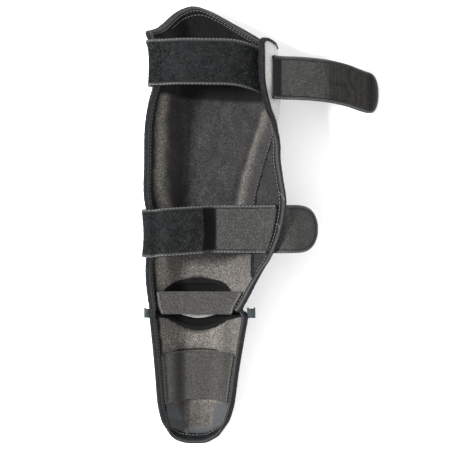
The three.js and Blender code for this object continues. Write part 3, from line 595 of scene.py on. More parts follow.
def lining(colours):
    """Brushed knit: fine wales along the cloth, crossed by courses, with a nap that lies in soft patches."""
    f = Finish("lining knit", Specular_IOR_Level=0.1, Sheen_Weight=0.03, Sheen_Roughness=0.5)
    u, v = f.cloth()
    wales = u.ridges(0.0009)
    courses = v.ridges(0.0012)
    knit = wales * courses
    patches = f.noise(0.02, 5, 0.6)
    grain = f.noise(0.0014, 4, 0.85)
    rub = f.noise(0.007, 4, 0.6, stretch=(1.6, 0.5, 1.0))
    satin, rubbed, deep = f.attribute("satin"), f.attribute("rubbed"), f.attribute("deep")
    # Paler where the piece's level says so, which holds painted highlight and painted shade as well as real
    # wear, and in soft patches of the nap
    paleness = rubbed + patches.between(0.35, 0.7) * 0.06
    tone = f.mix(paleness, colours.lining, colours.lining_pale)
    ground = f.mix(paleness, shade(colours.lining, 0.3), shade(colours.lining_pale, 0.16))
    specks = grain.between(0.45, 0.57)
    colour = f.mix(specks * 0.75 + 0.25 * knit.between(0.0, 0.5), ground, tone)
    colour = f.mix(satin, colour, colours.satin)
    # Painted shade: near black where the piece's level of shade says so
    colour = f.mix(deep, colour, shade(colours.lining, 0.12))
    relief = (knit * 0.4 + grain * 0.9) * (1 - satin) + rub * 1.2
    return f.finish(colour, 0.98 - grain * 0.15 - satin * 0.35, relief, 0.00035)


def tape(colours):
    """Binding tape: a fine slanting weave, paler in spots of wear, with a painted highlight along its crest.
    Where the lining covers it, it has the lining's colour, darkened as painted shade."""
    f = Finish("binding tape", Specular_IOR_Level=0.16)
    u, v = f.cloth()
    weave = (u + v).ridges(0.0007)
    wear = f.noise(0.004, 5, 0.65)
    folds = f.noise(0.0022, 3, 0.5)
    crest, lip = f.attribute("crest"), f.attribute("lip")
    # Paler in spots of wear and in the painted highlight along the crest
    colour = f.mix(wear.between(0.5, 0.8) * 0.3 + crest * 0.9, colours.binding, colours.binding_pale)
    # Where the lining covers the tape: the lining's colour, darkened as painted shade
    colour = f.mix(lip, colour, shade(colours.lining, 0.12))
    return f.finish(colour, 0.7 - wear * 0.25 + lip * 0.25, weave * 0.35 + folds * 1.2, 0.0004)


def strap_cloth(name, colour, scale=1.0):
    """Strap fabric: a tight basket weave with paler specks, and painted shadow where the piece says so."""
    f = Finish(name, Specular_IOR_Level=0.12, Sheen_Weight=0.08, Sheen_Roughness=0.5)
    u, v = f.cloth()
    warp = u.ridges(0.001 * scale)
    weft = v.ridges(0.0013 * scale)
    weave = warp.above(weft)
    rub = f.noise(0.008, 5, 0.6)
    grain = f.noise(0.0013, 3, 0.85)
    mixed = rub.between(0.35, 0.7) * 0.15 + grain.between(0.44, 0.58) * 0.65 + weave * 0.2
    tone = f.mix(mixed, shade(colour, 0.25), shade(colour, 2.1))
    # Painted shadow where the piece's dark level says so
    tone = f.mix(f.attribute("dark"), tone, shade(colour, 0.12))
    return f.finish(tone, 0.95 - grain * 0.2, weave * 0.7 + grain * 0.8, 0.0003)


def loop_fibres(colours):
    """Loop tape: dark fibres, of which some are pale and catch the light."""
    f = Finish("loop fibres", Specular_IOR_Level=0.08)
    each = f.attribute("fibre")
    patches = f.noise(0.008, 4, 0.6)
    dark = f.mix(patches.between(0.3, 0.7), shade(colours.loop, 0.55), shade(colours.loop, 1.6))
    specks = f.noise(0.0013, 3, 0.85).between(0.52, 0.66)
    colour = f.mix(each.between(0.5, 1.0) * 0.75 + specks * 0.25, dark, colours.loop_light)
    return f.finish(colour, 0.75 - each * 0.3, f.noise(0.0005, 2), 0.0001)


def hook_plastic(colours):
    """Hook tape: dull moulded hooks with a painted highlight on their tips, over a ground in painted shade,
    with dusty patches.
    """
    f = Finish("hook tape", Specular_IOR_Level=0.2)
    tips = f.attribute("height")
    dust = f.noise(0.0035, 5, 0.65)
    # Painted highlight on the hook tips and painted shade on the ground between them
    colour = f.mix(tips.between(0.2, 1.0), shade(colours.hook, 0.2), shade(colours.hook, 1.9))
    colour = f.mix(dust.between(0.5, 0.8) * 0.5, colour, shade(colours.hook, 2.8))
    return f.finish(colour, 0.7 - dust * 0.25, f.noise(0.0004, 2), 0.0002)


def elastic_web(colours):
    """Knitted elastic: ribs that cross the band, with fine picks between them, paler on the rib tops and in
    specks, and painted shade where the piece says so."""
    f = Finish("elastic webbing", Specular_IOR_Level=0.12, Sheen_Weight=0.1, Sheen_Roughness=0.5)
    picks = f.cloth()[1].ridges(0.0008)
    ribs = f.attribute("height")
    rub = f.noise(0.006, 5, 0.6, stretch=(1.0, 0.4, 1.0))
    grain = f.noise(0.0013, 3, 0.85)
    mixed = rub.between(0.35, 0.7) * 0.1 + ribs * 0.35 + grain.between(0.44, 0.58) * 0.55
    tone = f.mix(mixed, shade(colours.elastic, 0.2), shade(colours.elastic, 2.0))
    # Painted shade where the piece's level says so
    tone = f.mix(f.attribute("deep"), tone, shade(colours.elastic, 0.25))
    return f.finish(tone, 0.95 - grain * 0.2, picks * 0.6 + grain * 0.8, 0.0003)


def thread(name, colour):
    """Sewing thread: two plies that show as slanting bands."""
    f = Finish(name, Sheen_Weight=0.2)
    bands = (f.noise(0.0006, 2) - 0.5).size().between(0.0, 0.2)
    tone = f.mix(bands, shade(colour, 0.55), colour)
    return f.finish(tone, bands * 0.15 + 0.55, bands, 0.0001)


# Sizes and colours that can be changed


class GuardSizes(bpy.types.PropertyGroup):
    """Sizes of the sewn details, in metres."""

    rim_reach: FloatProperty(
        name="Rim binding reach", description="How far the binding lies over the lining from the rim",
        default=0.002, min=0.001, max=0.012, unit="LENGTH", precision=4)
    stitch_pitch: FloatProperty(
        name="Stitch pitch", description="Distance from one stitch to the next",
        default=0.0034, min=0.002, max=0.008, unit="LENGTH", precision=4)
    stitch_length: FloatProperty(
        name="Stitch length", description="Length of thread that shows in a stitch",
        default=0.0025, min=0.001, max=0.006, unit="LENGTH", precision=4)
    thread_radius: FloatProperty(
        name="Thread radius", description="Half the thickness of the sewing thread",
        default=0.0003, min=0.0001, max=0.001, unit="LENGTH", precision=5)
    wrinkle: FloatProperty(
        name="Lining wrinkles", description="Height of the soft wrinkles in the lining",
        default=0.0006, min=0.0, max=0.002, unit="LENGTH", precision=5)
    loop_height: FloatProperty(
        name="Loop height", description="How far the fibre loops stand above their tape",
        default=0.0012, min=0.0004, max=0.003, unit="LENGTH", precision=5)
    loops: IntProperty(
        name="Loops in a square centimetre", description="Density of the fibre loops",
        default=75, min=10, max=200)
    hook_pitch: FloatProperty(
        name="Hook row pitch", description="Distance between the rows of hooks",
        default=0.0019, min=0.001, max=0.004, unit="LENGTH", precision=5)
    rib_pitch: FloatProperty(
        name="Elastic rib pitch", description="Distance between the ribs of the elastic",
        default=0.0013, min=0.0008, max=0.004, unit="LENGTH", precision=5)


def colour(name, description, default):
    """A colour that can be changed."""
    return FloatVectorProperty(
        name=name, description=description, subtype="COLOR", size=3, min=0.0, max=1.0, default=default
    )


class GuardColours(bpy.types.PropertyGroup):
    """Base colours of the finishes."""

    leather: colour("Outer face", "Pale leather of the outer face", (0.47, 0.467, 0.455))
    lining: colour("Lining", "Knitted lining that faces the leg", (0.026, 0.026, 0.028))
    # Pale lining: for real wear and for the painted highlight on the lining
    lining_pale: colour("Worn lining", "Lining where it is rubbed pale", (0.26, 0.24, 0.215))
    satin: colour("Toe lining", "Smooth cloth at the sides of the toe", (0.05, 0.053, 0.056))
    binding: colour("Binding", "Tape round the edges", (0.005, 0.006, 0.007))
    # Pale binding: for spots of wear and for the painted highlight along the binding's crest
    binding_pale: colour("Worn binding", "Tape where it is rubbed", (0.06, 0.061, 0.058))
    strap: colour("Strap", "Fabric of the wide straps", (0.024, 0.0235, 0.0225))
    loop: colour("Loop tape", "Dark fibres of the loop tape", (0.006, 0.0062, 0.0064))
    loop_light: colour("Light fibres", "Fibres of the loop tape that catch the light", (0.07, 0.078, 0.082))
    hook: colour("Hook tape", "Moulded hooks", (0.022, 0.021, 0.019))
    elastic: colour("Elastic", "Elastic webbing over the ankle and instep", (0.034, 0.033, 0.0305))
    webbing: colour("Ankle webbing", "Folded webbing beside the ankle", (0.02, 0.026, 0.028))
    dark_thread: colour("Dark thread", "Stitches in the bindings", (0.17, 0.168, 0.16))
    pale_thread: colour("Pale thread", "Stitches at the elastics and loose ends", (0.36, 0.355, 0.34))


def sizes():
    """The sizes in millimetres, by name."""
    made = bpy.context.scene.guard_sizes
    keys = [k for k in GuardSizes.__annotations__ if k != "loops"]
    return {**{k: getattr(made, k) * 1000 for k in keys}, "loops": made.loops}


finishes = {}


def finish_for(key):
    """The material of a kind, made once."""
    if key not in finishes:
        c = bpy.context.scene.guard_colours
        makers = {
            "leather": lambda: leather(c),
            "lining": lambda: lining(c),
            "tape": lambda: tape(c),
            "strap": lambda: strap_cloth("strap fabric", c.strap),
            "webbing": lambda: strap_cloth("ankle webbing", c.webbing, 0.8),
            "loop": lambda: loop_fibres(c),
            "hook": lambda: hook_plastic(c),
            "elastic": lambda: elastic_web(c),
            "dark thread": lambda: thread("dark thread", c.dark_thread),
            "pale thread": lambda: thread("pale thread", c.pale_thread),
        }
        finishes[key] = makers[key]()
    return finishes[key]


def add_piece(name, finish, slot, points, faces, plane=None, nodes=(), levels=None):
    """A piece that rides on the guard's body, takes its finish by its kind and stands for CAD nodes. slot is
    not used.
    levels holds numbers for each point, which its finish reads by their names."""
    mesh = make_mesh(name, points, faces, plane)
    for label, values in (levels or {}).items():
        made = mesh.attributes.new(label, "FLOAT", "POINT")
        made.data.foreach_set("value", np.asarray(values, np.float32).ravel())
    mesh.materials.append(finish_for(finish))
    piece = bpy.data.objects.new(name, mesh)
    bpy.context.scene.collection.objects.link(piece)
    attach(piece, "root")
    if nodes:
        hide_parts(*nodes)
    return piece


def declare_cloth(grid):
    """The differences between neighbouring points of a grid along its columns and its rows; they are computed
    and not used."""
    du, dv = grid[1:, :-1] - grid[:-1, :-1], grid[:-1, 1:] - grid[:-1, :-1]


# Shells


def end_spaced(count, radius, length):
    """Shares from 0 to 1 that stand closer inside the rounded corners, where each follows a quarter turn."""
    turn = np.linspace(0, math.pi / 2, 7)[:-1]
    near = radius * (1 - np.cos(turn)) / length
    middle = np.linspace(radius / length, 1 - radius / length, count)
    return np.concatenate([near, middle, 1 - near[::-1]])


def rounded_grid(scale, across, along):
    """Places (a, b) over a shell with round corners: near an end the rims draw in by
    r - sqrt(r squared - (r - t) squared), where t is the distance from that end."""
    length = 1 / scale[1]
    b = end_spaced(along, FAR_CORNER, length)
    t = np.minimum(b, 1 - b) * length
    radius = np.where(b < 0.5, ANKLE_CORNER, FAR_CORNER)
    drawn = radius - np.sqrt(np.maximum(radius**2 - np.maximum(radius - t, 0) ** 2, 0))
    u = np.linspace(0, 1, across)
    a = mix((drawn * scale[0])[:, None], 1 - (drawn * scale[0])[:, None], u[None, :])
    return a, np.broadcast_to(b[:, None], a.shape)


def rim_loop(scale):
    """The outline of a shell in its (a, b) plane as a round-cornered rectangle, with the direction inwards
    at each point: it starts on the right rim at b 0 and runs over that end, up the left rim and back."""
    wide, tall = 1 / scale[0], 1 / scale[1]
    near, far = ANKLE_CORNER, FAR_CORNER
    corner = lambda x, y, radius, first: np.stack([
        x + radius * np.cos(np.radians(np.linspace(first, first - 90, 9))),
        y + radius * np.sin(np.radians(np.linspace(first, first - 90, 9))),
    ], axis=-1)
    loop = np.concatenate([
        corner(wide - near, near, near, 0), corner(near, near, near, 270),
        corner(far, tall - far, far, 180), corner(wide - far, tall - far, far, 90),
    ])
    loop = even_path(np.concatenate([loop, loop[:1]]), 1.2)
    run = unit(np.gradient(loop, axis=0))
    run[0] = run[-1] = unit(run[0] + run[-1])
    inward = np.stack([run[:, 1], -run[:, 0]], axis=-1)
    return loop * scale, inward * scale


# Height of the gathers beside a binding
PUCKER_HEIGHT = 0.35


def lining_swell(x, y, folds, wrinkle, seed):
    """How far the lining stands above its flat lie: uneven soft waves, and a fold along each line of a list
    of (line, width, height)."""
    rise = wrinkle * (0.8 * ripples(x, y, seed, 16, 42, 11) + 0.35 * ripples(x, y, seed + 1, 16, 12, 4.5))
    for line, width, height in folds:
        rise = rise + height * hump(off_line(x, y, line), width)
    return rise


def rim_puckers(a, b, scale, seed):
    """Small gathers that the binding pulls into the cloth: waves along the edge that fade with the distance
    from it, to less than half over six millimetres."""
    off_rim = np.minimum(a, 1 - a) / scale[0]
    off_end = np.minimum(b, 1 - b) / scale[1]
    along_rim = np.sin(b / scale[1] / 1.05 + 2.2 * np.sin(b / scale[1] / 13 + seed))
    along_end = np.sin(a / scale[0] / 0.62 + 2.0 * np.sin(a / scale[0] / 7 + seed))
    return PUCKER_HEIGHT * (along_rim * np.exp(-off_rim / 6) + along_end * np.exp(-off_end / 6))


# Lines in the shin's lining, in the guard's own plane: the crease beside the pad, its foot, and a hollow
CREASE = [(68, 192), (60, 170), (53, 149), (47, 128), (44, 108), (40, 92)]
CREASE_FOOT = [(58, 186), (50.5, 160), (44, 140), (38, 122), (34, 104)]
HOLLOW = [(-27, 200), (-24, 160), (-24, 110), (-27, 60)]

# Folds of the linings: a line, its width and its height
SHIN_FOLDS = [
    (CREASE, 3.2, 2.0),
    (CREASE_FOOT, 3.5, -1.1),
    ([(-18, 190), (-14, 160), (-12, 128), (-11, 100), (-13, 60)], 3.0, -0.9),
    ([(-27, 196), (-24, 160), (-23, 120), (-24, 84)], 6.0, 0.9),
    ([(62, 128), (58, 112), (57, 98)], 2.2, 1.0),
    ([(66, 122), (62, 108), (62, 96)], 2.0, 0.8),
    ([(8, 236), (30, 231), (52, 222)], 4.0, 0.8),
]
INSTEP_FOLDS = [
    ([(-30, -38), (-24, -52), (-22, -72)], 3.0, 0.6),
    ([(20, -38), (16, -54), (14, -70)], 3.0, 0.6),
    ([(-13, -92), (-12, -104), (-14, -118)], 3.4, 0.9),
    ([(8, -92), (7, -104), (5, -118)], 3.0, 0.7),
    ([(-10, -33), (0, -36), (10, -33)], 3.0, 0.5),
]

# Lines of the creases in the side flap's lining
FLAP_CREASES = [[(66, 124), (69, 112), (72, 102)], [(70, 126), (74, 114), (75, 104)], [(64, 60), (70, 52)]]


def shell_cover(name, shell, scale, node, grid, lines):
    """The padded cover of a shell: its outer face, with stitched grooves along lines of constant a, and its
    inner face as one closed body."""
    a, b = rounded_grid(scale, *grid)
    groove = sum(-0.9 * hump((a - at) / scale[0], 1.5) for at in lines)
    swell = 0.35 * ripples(a / scale[0], b / scale[1], 21, 14, 60, 14)
    lower = shell.outside(a, b, groove + swell * np.clip(shell.outer(a, b)[..., 2] / 6, 0, 1) - 0.35)
    lower[..., 2] = np.maximum(lower[..., 2], 0)
    return add_piece(name, "leather", "outer_leather", *wall_between(lower, shell.face(a, b)), [node])


def shell_lining(name, shell, scale, node, grid, folds, seed, look):
    """The lining of a shell: a sheet over the inner face that swells, wrinkles and puckers. look gives the
    levels of its finish for places in the guard's own plane."""
    a, b = rounded_grid(scale, *grid)
    at = shell.face(a, b)
    off_edge = np.minimum(np.minimum(a, 1 - a) / scale[0], np.minimum(b, 1 - b) / scale[1])
    swell = lining_swell(at[..., 0], at[..., 1], folds, sizes()["wrinkle"], seed)
    rise = swell * np.clip(off_edge / 9, 0, 1) + rim_puckers(a, b, scale, seed)
    top = shell.lifted(a, b, GAP + LINING + rise)
    body = wall_between(shell.lifted(a, b, GAP), top)
    made = look(at[..., 0], at[..., 1], at[..., 0] - at[:, :1, 0])
    levels = {label: on_both(values) for label, values in made.items()}
    piece = add_piece(name, "lining", "lining_fabric", *body, [node], levels)
    declare_cloth(top)
    return piece


def rim_shadow(off_left):
    """How dark the lining is beside the left rim: fully up to three millimetres from it, none past five."""
    return np.clip((5.0 - off_left) / 2.0, 0, 1)


def shin_look(x, y, off_left):
    """How the shin's lining looks. It is paler towards the ankle, with painted highlight on the left wall and
    along the crease beside the pad and painted shade in the hollow. It has painted shade beside the left rim,
    at the crease's foot and in the bend over the ankle, and painted shadow under the upper strap and over the
    knee.
    off_left is the distance from the left rim, seen from above."""
    lower = np.clip((105 - y) / 90, 0, 1) * 0.58
    # Painted highlight along the crease beside the pad
    crease = hump(off_line(x, y, CREASE), 4.0) * 0.4
    # Painted highlight on the shoulder of the left wall
    wall = hump(off_left - 10.5, 4.5) * 0.75
    # Painted shade in the hollow at the foot of the left wall
    hollow = hump(off_line(x, y, HOLLOW), 5.0) * 0.15
    rubbed = np.clip(lower + crease + wall + 0.06 - hollow, 0, 1)
    # Painted shadow of the left rim beside it, fading towards the knee
    rim = rim_shadow(off_left) * np.clip((230 - y) / 20, 0, 1)
    # Painted shadow under the upper strap, and painted shade over the knee beyond it
    strap = np.clip((y - 204 - 0.06 * (30 - x)) / 4, 0, 1) * 0.92
    # Painted shade at the crease's foot
    foot = hump(off_line(x, y, CREASE_FOOT), 3.0) * 0.35
    elastic = ANKLE_ELASTIC_PLACE + ANKLE_ELASTIC_WIDTH / 2
    # Painted shade in the bend over the ankle, up to a little past the lip or the ankle elastic's upper edge
    bend = np.clip((np.maximum(ankle_lip(x) + 6.5, elastic) - y) / 3, 0, 1)
    return {"rubbed": rubbed, "deep": np.clip(np.maximum.reduce([rim, strap, foot, bend]), 0, 1)}


def ankle_lip(x):
    """Where the middle of the shin's ankle end lies: a shallow bow towards the knee."""
    return ANKLE_BAY * (1 - ((x + 1) / 44) ** 2)


def instep_look(x, y, off_left):
    """How the instep's lining looks. It is smooth at the end and the sides of the toe, round a paler middle.
    It has painted shade beside the left rim, at the opening towards the ankle and above the wide elastic, and
    is painted darker at the foot of the left wall."""
    toe = np.clip((-92 - y) / 4, 0, 1)
    side = np.clip((np.abs(x + 2) - 19 - 0.25 * (y + 92)) / 5, 0, 1)
    end = np.clip((-116 - y - 0.02 * x**2) / 4, 0, 1)
    # Less pale at the toe, paler in a band right of the middle and darker near the right wall; the dip at x =
    # -17 is painted shade at the foot of the left wall
    rubbed = 0.62 - 0.3 * toe + 0.15 * hump(x - 12, 8) - 0.3 * hump(x + 17, 7) - 0.25 * hump(x - 30, 6)
    inner = np.clip(1 - ((x + 2) / 30) ** 2, 0, 1)
    # Painted shade at the opening towards the ankle
    mouth = np.clip((y + 6 + 14 * inner + 6.5) / 5, 0, 1) * np.sqrt(inner)
    # Painted shadow along the wide elastic's upper edge
    under = hump(y + 45 - 4 * np.cos((x + 1) / 26), 1.2) * np.clip((25 - np.abs(x + 2)) / 6, 0, 1)
    deep = np.clip(np.maximum.reduce([rim_shadow(off_left), mouth * 0.9, under]), 0, 1)
    return {"rubbed": np.clip(rubbed, 0, 1), "satin": toe * np.maximum(side, end), "deep": deep}


# How far the six points of a binding's flat part stand off the cloth, as a share, from its free edge on
HUG = np.array([0.25, 0.8, 1, 1, 1, 1])

# The column of a binding that carries the painted highlight along its crest, and how far that highlight
# spreads
CREST_COLUMN, CREST_SPREAD = 14, 1.1

# How far a binding lies on the outer face, how far it stands off the cloth, and how thick its tape is
OUTER_REACH, TAPE_RISE, TAPE_THICK = 0.9, 0.45, 0.7


def round_edge(under, over):
    """Rows of points from an outer face round an edge to an inner one: the nose between the two flat parts
    is half an oval that stands proud of them."""
    middle = (under[:, -1] + over[:, -1]) / 2
    away = unit(middle - (under[:, -2] + over[:, -2]) / 2)
    half = (over[:, -1] - under[:, -1]) / 2
    turn = np.linspace(0, math.pi, 11)[1:-1, None]
    proud = np.sin(turn) ** 0.7 * (SEAT + BINDING) * away[:, None]
    nose = middle[:, None] - np.cos(turn) * half[:, None] + proud
    return np.concatenate([under, nose, over[:, ::-1]], axis=1)


def binding_sheet(shell, at, inward, reach, rise=TAPE_RISE):
    """A binding over a shell's edge, as rows of points from the outer face, round the edge, to the lining."""

    def inside(d):
        return at[:, 0, None] + inward[:, 0, None] * d, at[:, 1, None] + inward[:, 1, None] * d

    reach = np.broadcast_to(reach, len(at))[:, None]
    under = shell.outside(*inside(np.linspace(1, 0, 6) * OUTER_REACH), rise * HUG)
    over = shell.lifted(*inside(np.linspace(1, 0, 6) * reach), GAP + LINING + rise * HUG)
    return round_edge(under, over)


def crest_levels(columns, lip):
    """Levels for a tape's two sides: how much painted highlight each point has, by its distance from the
    column of the crest, and how much it is covered by the lining, which lip gives for each line across the
    tape."""
    paleness = hump(np.arange(columns) - CREST_COLUMN, CREST_SPREAD)[None, :] * (1 - lip[:, None])
    return {"crest": on_both(paleness), "lip": on_both(lip[:, None] * np.ones((1, columns)))}


def lip_share(at):
    """How far a place on a shell's outline belongs to its ankle end between the rims."""
    end = np.clip((0.012 - at[:, 1]) / 0.006, 0, 1)
    return end * np.clip((np.minimum(at[:, 0], 1 - at[:, 0]) - 0.03) / 0.05, 0, 1)


def tape_body(sheet, seed=5):
    """A tape from a sheet that wraps an edge: its outer side has small cross folds, and its inner side lies
    the tape's thickness further in."""
    n = out_of(sheet)
    length = measured(sheet)[..., 1]
    folds = 0.14 * np.sin(length / 0.9 + 2.5 * np.sin(length / 9 + seed)) * np.sin(length / 5.3 + seed)
    outer = sheet + n * folds[..., None]
    return wall_between(outer - n * TAPE_THICK, outer)


def seam_row(sheet, column, offset=0.25):
    """The line and its upward direction along one column of a sheet, for a row of stitches."""
    n = out_of(sheet)
    low = int(math.floor(column))
    t = column - low
    line, up = mix(sheet[:, low], sheet[:, low + 1], t), unit(mix(n[:, low], n[:, low + 1], t))
    return line + up * offset, up


def seam_columns(sheet):
    """The columns of a binding that are sewn: near its free edge on the lining and on the outer face."""
    return sheet.shape[1] - 2.6, 1.6


def add_stitches(name, rows, finish="dark thread", slot="black_binding", **other):
    """One piece of thread for several rows of stitches, in the guard's own stitch sizes or others."""
    s = {**sizes(), **other}
    each = [
        stitches(line, up, s["stitch_length"], s["stitch_pitch"], s["thread_radius"])
        for line, up in rows
    ]
    return add_piece(name, finish, slot, *joined(each))


# Side flap


def wing_curve(b):
    """Root, bend and rim of the side flap's section at b: the root leaves the shell's right rim in the
    direction of its wall, and the rim follows a table."""
    one = np.ones_like(b)
    edge = (shin.outer(one, b) + shin.lifted(one, b, GAP + LINING)) / 2
    inside = one - 1.5 * SHIN_SCALE[0]
    deeper = (shin.outer(inside, b) + shin.lifted(inside, b, GAP + LINING)) / 2
    outward = unit(edge - deeper)
    root = shin.face(one, b) + outward * (SEAT + GAP)
    low, high = SEAM_LOW + SEAM_STEP, SEAM_HIGH - SEAM_STEP
    rim_at = rows_at(FLAP_RIM, (b - low) / (high - low))
    rim = np.stack([rim_at[..., 0] * SHIN_WIDTH, root[..., 1], rim_at[..., 1] * SHIN_HEIGHT], axis=-1)
    reach = np.linalg.norm(rim - root, axis=-1, keepdims=True)
    return root, root + outward * reach * 0.35, rim


def wing(w, b, lift):
    """A point of the flap, lift above its face: w runs along a parabola with three controls from the seam
    to the rim, and lift is square to it."""
    w, b = np.broadcast_arrays(np.asarray(w, float), np.asarray(b, float))
    root, bend, rim = wing_curve(b)
    t = w[..., None]
    point = (1 - t) ** 2 * root + 2 * t * (1 - t) * bend + t**2 * rim
    tangent = (1 - t) * (bend - root) + t * (rim - bend)
    n = unit(np.cross(tangent, [0.0, 1.0, 0.0]))
    return point + n * np.broadcast_to(lift, w.shape)[..., None]


def wing_at_y(w, y, lift):
    """A point of the flap where its root has a given y."""
    length = SHIN_LENGTH + KNEE[-1] * KNEE_REACH
    b = np.clip(y / length, SEAM_LOW + SEAM_STEP, SEAM_HIGH - SEAM_STEP)
    w, b = np.broadcast_arrays(np.asarray(w, float), b)
    p = wing(w, b, lift)
    p[..., 1] = y
    return p


def wing_sheet(b, reach):
    """The binding over the flap's rim, in the same number of points as that over a shell's edge."""
    root, _, rim = wing_curve(b)
    length = np.maximum(np.linalg.norm(rim - root, axis=-1), 7)[:, None]
    w = 1 - np.linspace(1, 0, 6)[None, :] * reach / length
    under = wing(w, b[:, None], -mix(EDGE, FLAP, w) - TAPE_RISE * HUG)
    over = wing(w, b[:, None], GAP + LINING + TAPE_RISE * HUG)
    return round_edge(under, over)


def shin_rim_sheet(reach):
    """The binding round the whole shin guard as one closed band: round the shell from the low end of the
    flap's seam to its high end, then back along the flap's rim. Where the two meet, neighbouring rows are
    averaged until they join."""
    at, inward = rim_loop(SHIN_SCALE)
    right = at[:, 0] > 0.999
    last = np.arange(len(at)) > len(at) / 2
    low_part = right & last & (at[:, 1] < SEAM_LOW)
    kept = ~(right & last & (at[:, 1] < SEAM_HIGH))
    order = np.concatenate([np.flatnonzero(low_part), np.flatnonzero(kept)])
    shell = binding_sheet(shin, at[order], inward[order], reach)
    b = np.linspace(SEAM_HIGH - 2 * SEAM_STEP, SEAM_LOW + 2 * SEAM_STEP, 115)
    flap = wing_sheet(b, reach)
    whole = np.concatenate([shell, flap])
    place = np.arange(len(whole))
    near = np.minimum(np.abs(place - len(shell)), np.minimum(place, len(whole) - place))
    weight = np.clip(1 - near / 12, 0, 1)[:, None, None]
    for _ in range(30):
        whole = mix(whole, (np.roll(whole, 1, 0) + np.roll(whole, -1, 0)) / 2, weight)
    lip = np.concatenate([lip_share(at[order]), np.zeros(len(flap))])
    return np.concatenate([whole, whole[:1]]), np.concatenate([lip, lip[:1]])


def seam_tape(b):
    """A narrow tape over the seam between the shell's lining and the flap's, three points on each side."""
    reach, rise = 3.2, 0.55
    one = np.ones_like(b)[:, None]
    d = np.array([1, 0.55, 0.1]) * reach
    on_shell = shin.lifted(one - d * SHIN_SCALE[0], b[:, None], GAP + LINING + rise)
    root, _, rim = wing_curve(b)
    length = np.linalg.norm(rim - root, axis=-1)[:, None]
    on_flap = wing(d[::-1] / np.maximum(length, reach * 1.2), b[:, None], GAP + LINING + rise)
    return np.concatenate([on_shell, on_flap], axis=1)


# Straps


def fold_root(y):
    """The first points of a strap that is sewn to the outside of the left wall and folds over its rim: low
    on the wall, beside the rim, over its shoulder, on its crest and past it."""
    b = y / SHIN_LENGTH
    zero = np.zeros_like(b)
    rim = (shin.outer(zero, b) + shin.lifted(zero, b, LINING)) / 2
    rim[..., 1] = y
    rim[..., 0] = mix(rim[..., 0], rim[..., 0].mean(), 0.6)
    clear = SEAT + PIPING / 5 + STRAP / 2
    side = RIM_SIDE + clear
    crest = SEAT + BINDING + clear
    low = shin.outside(zero + 0.06, b, SEAT + GAP + STRAP / 2)
    low[..., 1] = y
    low[..., 0] = np.minimum(low[..., 0], rim[..., 0] - side)
    beside = [rim + [out * side, 0, up * crest] for out, up in ((-1, 0), (-0.82, 0.75), (0, 1), (0.9, 1.08))]
    return rim, np.stack([low, *beside], axis=-2)


def folded_strap(place, width, reach, run, rows, columns):
    """The middle surface of a folded strap: a smooth curve for each line across its width, through its fold
    and a run of (out, up, sway) shares."""
    y = place + np.linspace(-1, 1, rows) * width / 2
    rim, root = fold_root(y)
    rest = [
        np.stack([rim[:, 0] + out * reach, y + sway * width, np.full(rows, up * SHIN_HEIGHT)], axis=-1)
        for out, up, sway in run
    ]
    points = np.concatenate([root, np.stack(rest, axis=-2)], axis=-2)
    return spline(points[:, None], np.linspace(0, 1, columns)[None, :])


def round_end(share, length, half):
    """Half width of a strap with a round end at a share of its length: an oval's quarter, blunter than a
    circle's, over the last stretch."""
    into = np.clip((share - (1 - 0.8 * half / length)) / (0.8 * half / length), 0, 0.985)
    return half * (1 - into**2.5) ** (1 / 2.2)


def ended_strap(line, half, rows):
    """A strap with a round end: each point of its middle line, spread over the strap's width there."""
    s = np.linspace(-1, 1, rows)[:, None]
    wide = round_end(np.linspace(0, 1, len(line)), np.linalg.norm(np.diff(line, axis=0), axis=1).sum(), half)
    sheet = np.broadcast_to(line, (rows, *line.shape)).copy()
    sheet[..., 1] += s * wide
    return sheet


# A strap's bound edge: lines round it, how far it stands out from the strap, and its slack over each face
PIPE_LINES, PIPE_PROUD, PIPE_SLACK = 15, 3.0, 0.45


def edge_pipe(path, up, above, reach):
    """A bound edge as a closed tube along the edge of a strap: its section is a smooth ring through points
    over the strap, round its edge and under it. above is its height over the strap's upper face."""
    run = unit(np.gradient(path, axis=0))
    out = unit(np.cross(run, up))
    low, high = -STRAP / 2, STRAP / 2 + above
    middle, half = (low + high) / 2, (high - low) / 2 + PIPE_SLACK
    near, far = -reach * 0.4, PIPE_PROUD * 0.35
    section = np.array([
        [-reach, half * 0.75], [near, half * 1.05], [far, half], [PIPE_PROUD * 0.85, half * 0.6],
        [PIPE_PROUD, 0], [PIPE_PROUD * 0.85, -half * 0.6], [far, -half], [near, -half * 1.05],
        [-reach, -half * 0.75],
    ])
    ring = spline(section, np.linspace(0, 1, PIPE_LINES))
    grid = path[:, None] + out[:, None] * ring[None, :, :1] + up[:, None] * (ring[None, :, 1:] + middle)
    return many(grid[None]), out


def add_edge_tape(name, node, line, up, above, reach, inset, thread):
    """The bound edge of a strap as a piece, up to a height above the strap's upper face, and its row of
    stitches, which lies inside the edge at a height of its own."""
    (points, faces), out = edge_pipe(line, up, above, reach)
    # A painted highlight along the bound edge's upper side
    paleness = np.tile(0.6 * hump(np.arange(PIPE_LINES) - 3.0, 0.9), len(points) // PIPE_LINES)
    piece = add_piece(name, "tape", "black_binding", points, faces, None, [node], {"crest": paleness})
    return piece, (line - out * inset + up * (STRAP / 2 + thread), up)


def side_line(sheet, row, backwards=False):
    """The line and upward direction along one edge of a sheet."""
    line, up = sheet[row], upward(sheet)[row]
    return (line[::-1], up[::-1]) if backwards else (line, up)


def outline_line(sheet):
    """The line and upward direction round a strap with a free end: along its last row, over its end and
    back along its first row, with the corners rounded by averaging."""
    both = np.concatenate([sheet, upward(sheet)], axis=-1)
    line = np.concatenate([both[-1], both[::-1, -1][1:], both[0, ::-1][1:]])
    line = even_path(line, 0.9)
    for _ in range(6):
        line[1:-1] = (line[:-2] + 2 * line[1:-1] + line[2:]) / 4
    return line[:, :3], unit(line[:, 3:])


